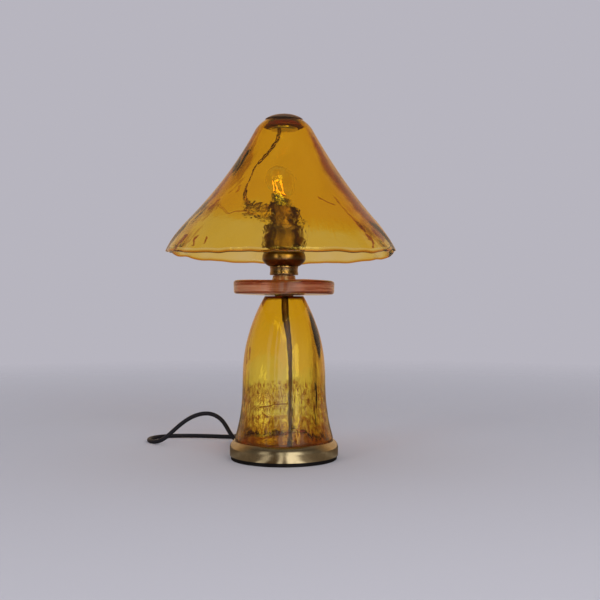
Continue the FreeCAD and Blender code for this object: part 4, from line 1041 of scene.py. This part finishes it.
class LAMP_OT_foot_glass(bpy.types.Operator):
    """Bell-shaped foot glass with bark in its lower half"""
    bl_idname = "lamp.foot_glass"
    bl_label = "Foot glass"

    def execute(self, context):
        sizes = context.scene.lamp_sizes
        line = outline((0.0682, 0.0233), (0.0682, 0.0293, 4),
                       (0.0578, 0.1033, 0.266, "right", 46), (0.0578, 0.1123, 5),
                       (0.0270, 0.2265, 0.228, "left", 70))
        shell = turned("foot_glass", line, False, 288)
        places = corners_of(shell)
        low = 1 - step_up(places[:, 2], 0.085, 0.115)
        edge = step_up(places[:, 2], 0.0233, 0.034)
        broad = ripple(places, 2.2, 22, 3.1)
        bark = ripple(places, 15.0, 75, 8.7) + 0.6 * ripple(places, 27.0, 120, 17.3)
        lift = broad * 0.0005 * edge + bark * sizes.bark_depth * low * edge
        outward = places[:, :2] / np.linalg.norm(places[:, :2], axis=1)[:, None]
        places[:, :2] += outward * lift[:, None]
        move_corners(shell, places)
        middle = step_up(places[:, 2], 0.030, 0.070) * (1 - step_up(places[:, 2], 0.13, 0.20))
        thick = 0.80 - 0.24 * middle + 0.10 * ripple(places, 1.5, 14, 5.5)
        thick += 0.05 * bark * low * edge
        thicken(shell, sizes.foot_wall / 0.8, np.clip(thick, 0.3, 1), use_rim=False)
        self.close(shell)
        finish_piece(shell, "base", "foot_amber", "base_glass")
        return {"FINISHED"}

    def close(self, shell):
        """Closes the foot's edge and gives the top its thick end with the tube's hole."""
        bpy.ops.object.mode_set(mode="EDIT")
        edit = bmesh.from_edit_mesh(shell.data)
        top, foot = [], []
        for edge in edit.edges:
            if edge.is_boundary:
                middle = (edge.verts[0].co + edge.verts[1].co) / 2
                (top if middle.z > 0.1 else foot).append(edge)
        bmesh.ops.bridge_loops(edit, edges=foot)
        inner = [edge for edge in top if math.hypot(*edge.verts[0].co.xy) < 0.0262]
        outer = [edge for edge in top if edge not in inner]
        self.draw_in(edit, outer, 0.0265, 0.2265)
        self.draw_in(edit, inner, 0.0240, 0.2225)
        holes = [edge for edge in edit.edges if edge.is_boundary]
        bmesh.ops.bridge_loops(edit, edges=holes)
        bmesh.ops.recalc_face_normals(edit, faces=edit.faces)
        bmesh.update_edit_mesh(shell.data)
        bpy.ops.object.mode_set(mode="OBJECT")
        smooth(shell, 50)

    def draw_in(self, edit, edges, turn, height):
        """Draws an open edge in to the tube's hole, level at one height."""
        for radius in (turn, 0.0160, 0.0056):
            made = bmesh.ops.extrude_edge_only(edit, edges=edges)
            corners = [item for item in made["geom"] if isinstance(item, bmesh.types.BMVert)]
            edges = [item for item in made["geom"] if isinstance(item, bmesh.types.BMEdge)]
            edges = [edge for edge in edges if edge.is_boundary]
            for corner in corners:
                angle = math.atan2(corner.co.y, corner.co.x)
                corner.co = (radius * math.cos(angle), radius * math.sin(angle), height)


class LAMP_OT_disc(bpy.types.Operator):
    """Thick rose glass disc with its neck"""
    bl_idname = "lamp.disc"
    bl_label = "Rose disc"

    def execute(self, context):
        line = outline((0.0056, 0.2273), (0.0220, 0.2273, 4), (0.0664, 0.2293, 10),
                       (0.07035, 0.2333, 0.004, "left", 6), (0.07035, 0.2443, 6),
                       (0.06635, 0.2483, 0.004, "left", 6), (0.0168, 0.2483, 12),
                       (0.0155, 0.2553, 4), (0.0056, 0.2553, 4))
        disc = turned("rose_disc", line, True, 192)
        places = corners_of(disc)
        reach = np.hypot(places[:, 0], places[:, 1])
        far = step_up(reach, 0.030, 0.066)
        places[:, 2] += ripple(places, 1.6, 10, 2.2) * 0.0012 * far
        places[:, :2] *= (1 + ripple(places, 3.0, 60, 9.4) * 0.006 * far)[:, None]
        move_corners(disc, places)
        smooth(disc, 50)
        finish_piece(disc, "base", "rose_glass", "disc_glass")
        return {"FINISHED"}


class LAMP_OT_holder(bpy.types.Operator):
    """Lampholder: collar, dome, cup, sleeve and push bar"""
    bl_idname = "lamp.holder"
    bl_label = "Lampholder"

    def execute(self, context):
        turned_piece("collar", [
            (0.0052, 0.2561), (0.0195, 0.2561), (0.0199, 0.2566), (0.0199, 0.2595),
            (0.0194, 0.2600), (0.0194, 0.2655), (0.0199, 0.2660), (0.0199, 0.2680),
            (0.0196, 0.2684), (0.0184, 0.2684), (0.0184, 0.2576), (0.0052, 0.2576),
        ], (0.0003, 2, 30), "base", "collar", "holder_collar")
        turned_piece("dome", outline(
            (0.0052, 0.2684), (0.0205, 0.2684), (0.0215, 0.2686),
            (0.0303, 0.2774, 0.022, "left", 10), (0.0303, 0.2814, 2),
            (0.0285, 0.2869, 0.013, "left", 6), (0.0271, 0.2869),
            (0.0289, 0.2814, 0.013, "right", 6), (0.0289, 0.2774),
            (0.0201, 0.2698, 0.022, "right", 8), (0.0052, 0.2698),
        ), (0.0003, 2, 40), "base", "bronze", "holder_dome")
        # The cup has a bead near its foot and a groove under its shoulder.
        turned_piece("cup", outline(
            (0.0274, 0.2869), (0.0285, 0.2869), (0.0285, 0.2892),
            (0.0285, 0.2922, 0.0018, "left", 6), (0.0285, 0.3200), (0.0281, 0.3205),
            (0.0281, 0.3222), (0.0285, 0.3227), (0.0285, 0.3272),
            (0.0250, 0.3307, 0.0035, "left", 6), (0.0100, 0.3307), (0.0100, 0.3296),
            (0.0250, 0.3296), (0.0274, 0.3272, 0.0024, "right", 5),
        ), (0.0003, 2, 40), "base", "bronze", "holder_cup")
        self.sleeve()
        self.push_bar()
        return {"FINISHED"}

    def sleeve(self):
        """The inner sleeve, with its thread and the push bar's holes."""
        line = [(0.0178, 0.3307), (0.0190, 0.3307), (0.0190, 0.3388)]
        for index in range(5):
            height = 0.3475 + index * 0.0005
            line.append((0.0190 - 0.0003 * (index % 2), height))
        line += [(0.0190, 0.3502), (0.0178, 0.3502)]
        sleeve = turned("sleeve", line)
        drill(sleeve, 0.00183, self.on_bar(-0.03), self.on_bar(0.03), 24)
        finish_piece(sleeve, "base", "bronze", "lampholder_sleeve")

    def push_bar(self):
        """The bar through the sleeve and its two thicker tips."""
        left, right = -0.0193, 0.0293
        rod = bar("push_rod", 0.00175, self.on_bar(left), self.on_bar(right), 24)
        finish_piece(rod, "push_bar", "brass", "switch_bar")
        tips = []
        for start, end in ((left - 0.0022, left), (right, right + 0.0022)):
            tip = bar("push_tip", 0.0025, self.on_bar(start), self.on_bar(end), 28)
            soften(tip, 0.0005, 3)
            tips.append(tip)
        tips = join(tips, "push_tips")
        finish_piece(tips, "push_bar", "bronze", "switch_bar_tips")

    def on_bar(self, across):
        """A place on the push bar's middle line."""
        return across, 0, PUSH_BAR_HEIGHT


class LAMP_OT_bulb(bpy.types.Operator):
    """Clear bulb with a screw cap"""
    bl_idname = "lamp.bulb"
    bl_label = "Bulb"

    def execute(self, context):
        line = outline((0.0124, 0.35975), (0.0124, 0.36275),
                       (0.0165, 0.37145, 0.009, "right", 8),
                       (0.0225, 0.38675, 0.0225, "left", 12),
                       (0.0, 0.40925, 0.0225, "left", 28))
        shell = turned("bulb_shell", line, False, 96)
        thicken(shell, 0.0008)
        smooth(shell, 50)
        finish_piece(shell, "bulb", "clear_glass", "bulb_glass")
        self.cap()
        return {"FINISHED"}

    def cap(self):
        """The screw cap: a thread of rounded ridges over a plain, sloped foot."""
        line = [(0.0, 0.34425), (0.0098, 0.34425), (0.0122, 0.3458)]
        for index in range(4):
            foot = 0.3463 + index * 0.0033
            line += [(0.0122, foot), (0.0128, foot + 0.0008), (0.0130, foot + 0.0016),
                     (0.0128, foot + 0.0024)]
        line += [(0.0123, 0.3597), (0.0130, 0.3602), (0.0130, 0.36275), (0.0125, 0.36275),
                 (0.0121, 0.3601), (0.0118, 0.3590), (0.0118, 0.34645), (0.0, 0.34485)]
        cap = turned("bulb_screw", line, True, 72)
        smooth(cap, 60)
        finish_piece(cap, "bulb", "steel", "bulb_cap")


class LAMP_OT_arm(bpy.types.Operator):
    """Bent rod with its hub"""
    bl_idname = "lamp.arm"
    bl_label = "Arm"

    def execute(self, context):
        places = [Vector((across, 0, height)) for across, height in ARM_WAY]
        arm = tube_along("arm_rod", places, 0.0023, 16)
        arm.data.bevel_resolution = 8
        take(arm)
        bpy.ops.object.convert(target="MESH")
        arm = bpy.context.object
        smooth(arm, 60)
        finish_piece(arm, "base", "rod", "shade_arm")
        turned_piece("hub", [(0.0030, 0.4577), (0.0178, 0.4577), (0.0200, 0.4600),
                             (0.0200, 0.4622), (0.0030, 0.4622)],
                     (0.0005, 3, 30), "base", "brass", "arm_hub")
        return {"FINISHED"}


class LAMP_OT_shade(bpy.types.Operator):
    """Blown shade: thick above, thin and folded below"""
    bl_idname = "lamp.shade"
    bl_label = "Shade"

    def execute(self, context):
        sizes = context.scene.lamp_sizes
        line = outline((0.0045, 0.4730), (0.0250, 0.4730, 6),
                       (0.0400, 0.4590, 0.045, "right", 12),
                       (0.1295, 0.3330, 0.642, "left", 76),
                       (0.1640, 0.2785, 0.150, "right", 40))
        shell = turned("shade", line, False, 256)
        places = corners_of(shell)
        angle = np.arctan2(places[:, 1], places[:, 0])
        places, run_down = self.saddle(places, angle, line)
        height = places[:, 2].copy()
        edge = self.edge_height(angle)
        folds = self.folds(places, angle, height)
        broad = ripple(places, 1.8, 11, 4.4)
        hold = step_up(height, 0.474, 0.440)
        lift = broad * 0.0007 * hold + folds * sizes.fold_depth
        outward = places[:, :2] / np.linalg.norm(places[:, :2], axis=1)[:, None]
        places[:, :2] += outward * lift[:, None]
        sag = 1 - step_up(height, 0.285, 0.320)
        places[:, 2] += ripple(places, 6.5, 5, 12.6) * 0.0022 * sag
        move_corners(shell, places)
        thin = sizes.skirt_wall / sizes.shade_wall
        above = step_up(height, edge - 0.0140, edge + 0.0140)
        share = thin + (1 - thin) * above + 0.10 * ripple(places, 1.3, 9, 6.1) * hold
        share += folds * 0.25 + 0.06 * ripple(places, 6.0, 45, 21.0) * (1 - above)
        share += 0.35 * step_up(run_down, 0.978, 0.990)
        rim = shell.data.attributes.new("rim", "FLOAT", "POINT")
        rim.data.foreach_set("value", step_up(run_down, 0.985, 0.994))
        thicken(shell, sizes.shade_wall / 0.85, np.clip(share * 0.85, 0.2, 1))
        soften(shell, 0.0007, 3, 60)
        smooth(shell, 60)
        finish_piece(shell, "shade", "shade_amber", "shade_glass")
        return {"FINISHED"}

    def saddle(self, places, angle, line):
        """Draws the lower rows up towards the rim's two sides, along the outline. Also gives
        how far down the outline each corner was, from 0 to 1."""
        line = np.array(line)
        run = np.concatenate([[0], np.cumsum(np.linalg.norm(np.diff(line, axis=0), axis=1))])
        along = np.interp(-places[:, 2], -line[:, 1][6:], run[6:])
        flat = places[:, 2] > 0.47299
        reach = np.hypot(places[:, 0], places[:, 1])
        along[flat] = reach[flat] - line[0, 0]
        turns = np.arange(-180, 181, 2)
        rises = np.interp(turns, *zip(*RIM_RISE))
        window = np.hanning(17) / np.hanning(17).sum()
        rises = np.convolve(np.concatenate([rises[-9:-1], rises, rises[1:9]]), window, "valid")
        rise = np.interp(np.degrees(np.arctan2(np.cos(angle), -np.sin(angle))), turns, rises)
        run_down = along / along.max()
        share = step_up(along / run[-1], 0.55, 1.0)
        along = along - share * rise * 1.06
        radius = np.interp(along, run, line[:, 0])
        moved = np.empty_like(places)
        moved[:, 0] = radius * np.cos(angle)
        moved[:, 1] = radius * np.sin(angle)
        moved[:, 2] = np.interp(along, run, line[:, 1])
        moved[:, 0] -= 0.0040 * step_up(-moved[:, 2], -0.440, -0.285)
        return moved, run_down

    def edge_height(self, angle):
        """The height where the thick wall ends, lower towards the right and the front."""
        reach = 0.132
        middle = bpy.context.scene.lamp_sizes.skirt_height
        return middle + reach * (LEAN_ACROSS * np.cos(angle) + LEAN_BACK * np.sin(angle))

    def folds(self, places, angle, height):
        """Short slanting folds near the rim, deepest at the two sides."""
        side = np.abs(np.cos(angle)) ** 6
        low = 1 - step_up(height, 0.292, 0.335)
        slant = angle * 17 + height * 120 * np.sign(np.cos(angle))
        wave = np.sin(slant + 2.0 * ripple(places, 2.4, 14, 1.9))
        return wave * low * (0.12 + 0.88 * side)


class LAMP_OT_crown(bpy.types.Operator):
    """Dome cap and the plate under the shade"""
    bl_idname = "lamp.crown"
    bl_label = "Crown"

    def execute(self, context):
        turned_piece("dome_cap", outline(
            (0.0246, 0.4738), (0.0264, 0.4738), (0.0050, 0.4800, 0.034, "left", 14),
            (0.0032, 0.4800), (0.0032, 0.4791), (0.0050, 0.4791),
        ), (0.0002, 2, 50), "shade", "cap", "crown_cap")
        turned_piece("plate", [(0.0032, 0.4622), (0.0280, 0.4622), (0.0280, 0.4637),
                               (0.0234, 0.4682), (0.0032, 0.4682)],
                     (0.0004, 3), "base", "red_lacquer", "shade_plate")
        return {"FINISHED"}


class LAMP_OT_inner(bpy.types.Operator):
    """Finishes of the pieces that keep their own shape"""
    bl_idname = "lamp.inner"
    bl_label = "Inner pieces"

    NODES_OF = {
        "pale_rubber": ("glass_seat_gasket", "disc_washer", "neck_washer", "plate_gasket",
                        "cap_gasket"),
        "iron": ("base_weight",),
        "steel": ("base_washer", "base_nut", "holder_nut", "bulb_tip", "filament_wires",
                  "clamp_screw", "clamp_nut", "crown_stud"),
        "tube": ("central_tube",),
        "moulding": ("lampholder_insulator", "bulb_insulator"),
        "brass": ("screw_shell", "centre_contact", "terminals"),
        "clear_glass": ("bulb_stem",),
        "glow": ("filaments",),
        "bronze": ("arm_clamp", "cap_nut"),
        "core_sheath": ("inner_lead",),
    }

    def execute(self, context):
        for look, nodes in self.NODES_OF.items():
            for node in nodes:
                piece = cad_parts[node]
                piece.data.materials.clear()
                piece.data.materials.append(finish(look))
        return {"FINISHED"}


class LAMP_PT_panel(bpy.types.Panel):
    """Sizes, colours and the steps that dress the lamp"""
    bl_idname = "LAMP_PT_panel"
    bl_label = "Mushroom Table Lamp"
    bl_space_type = "VIEW_3D"
    bl_region_type = "UI"
    bl_category = "Lamp"

    def draw(self, context):
        layout = self.layout
        for group in (context.scene.lamp_sizes, context.scene.lamp_colours):
            box = layout.box()
            for name in group.__annotations__:
                box.prop(group, name)
        for operator in STEPS:
            layout.operator(operator.bl_idname)


STEPS = (LAMP_OT_stage, LAMP_OT_cord, LAMP_OT_base, LAMP_OT_foot_glass, LAMP_OT_disc,
         LAMP_OT_holder, LAMP_OT_bulb, LAMP_OT_arm, LAMP_OT_shade, LAMP_OT_crown,
         LAMP_OT_inner)
CLASSES = (LampSizes, LampColours) + STEPS + (LAMP_PT_panel,)


def register():
    for kind in CLASSES:
        bpy.utils.register_class(kind)
    bpy.types.Scene.lamp_sizes = PointerProperty(type=LampSizes)
    bpy.types.Scene.lamp_colours = PointerProperty(type=LampColours)


def unregister():
    del bpy.types.Scene.lamp_sizes
    del bpy.types.Scene.lamp_colours
    for kind in reversed(CLASSES):
        bpy.utils.unregister_class(kind)


def main():
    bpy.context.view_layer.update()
    register()
    for step in ("stage", "cord", "base", "foot_glass", "disc", "holder", "bulb", "arm",
                 "shade", "crown", "inner"):
        getattr(bpy.ops.lamp, step)()


if __name__ == "__main__":
    main()
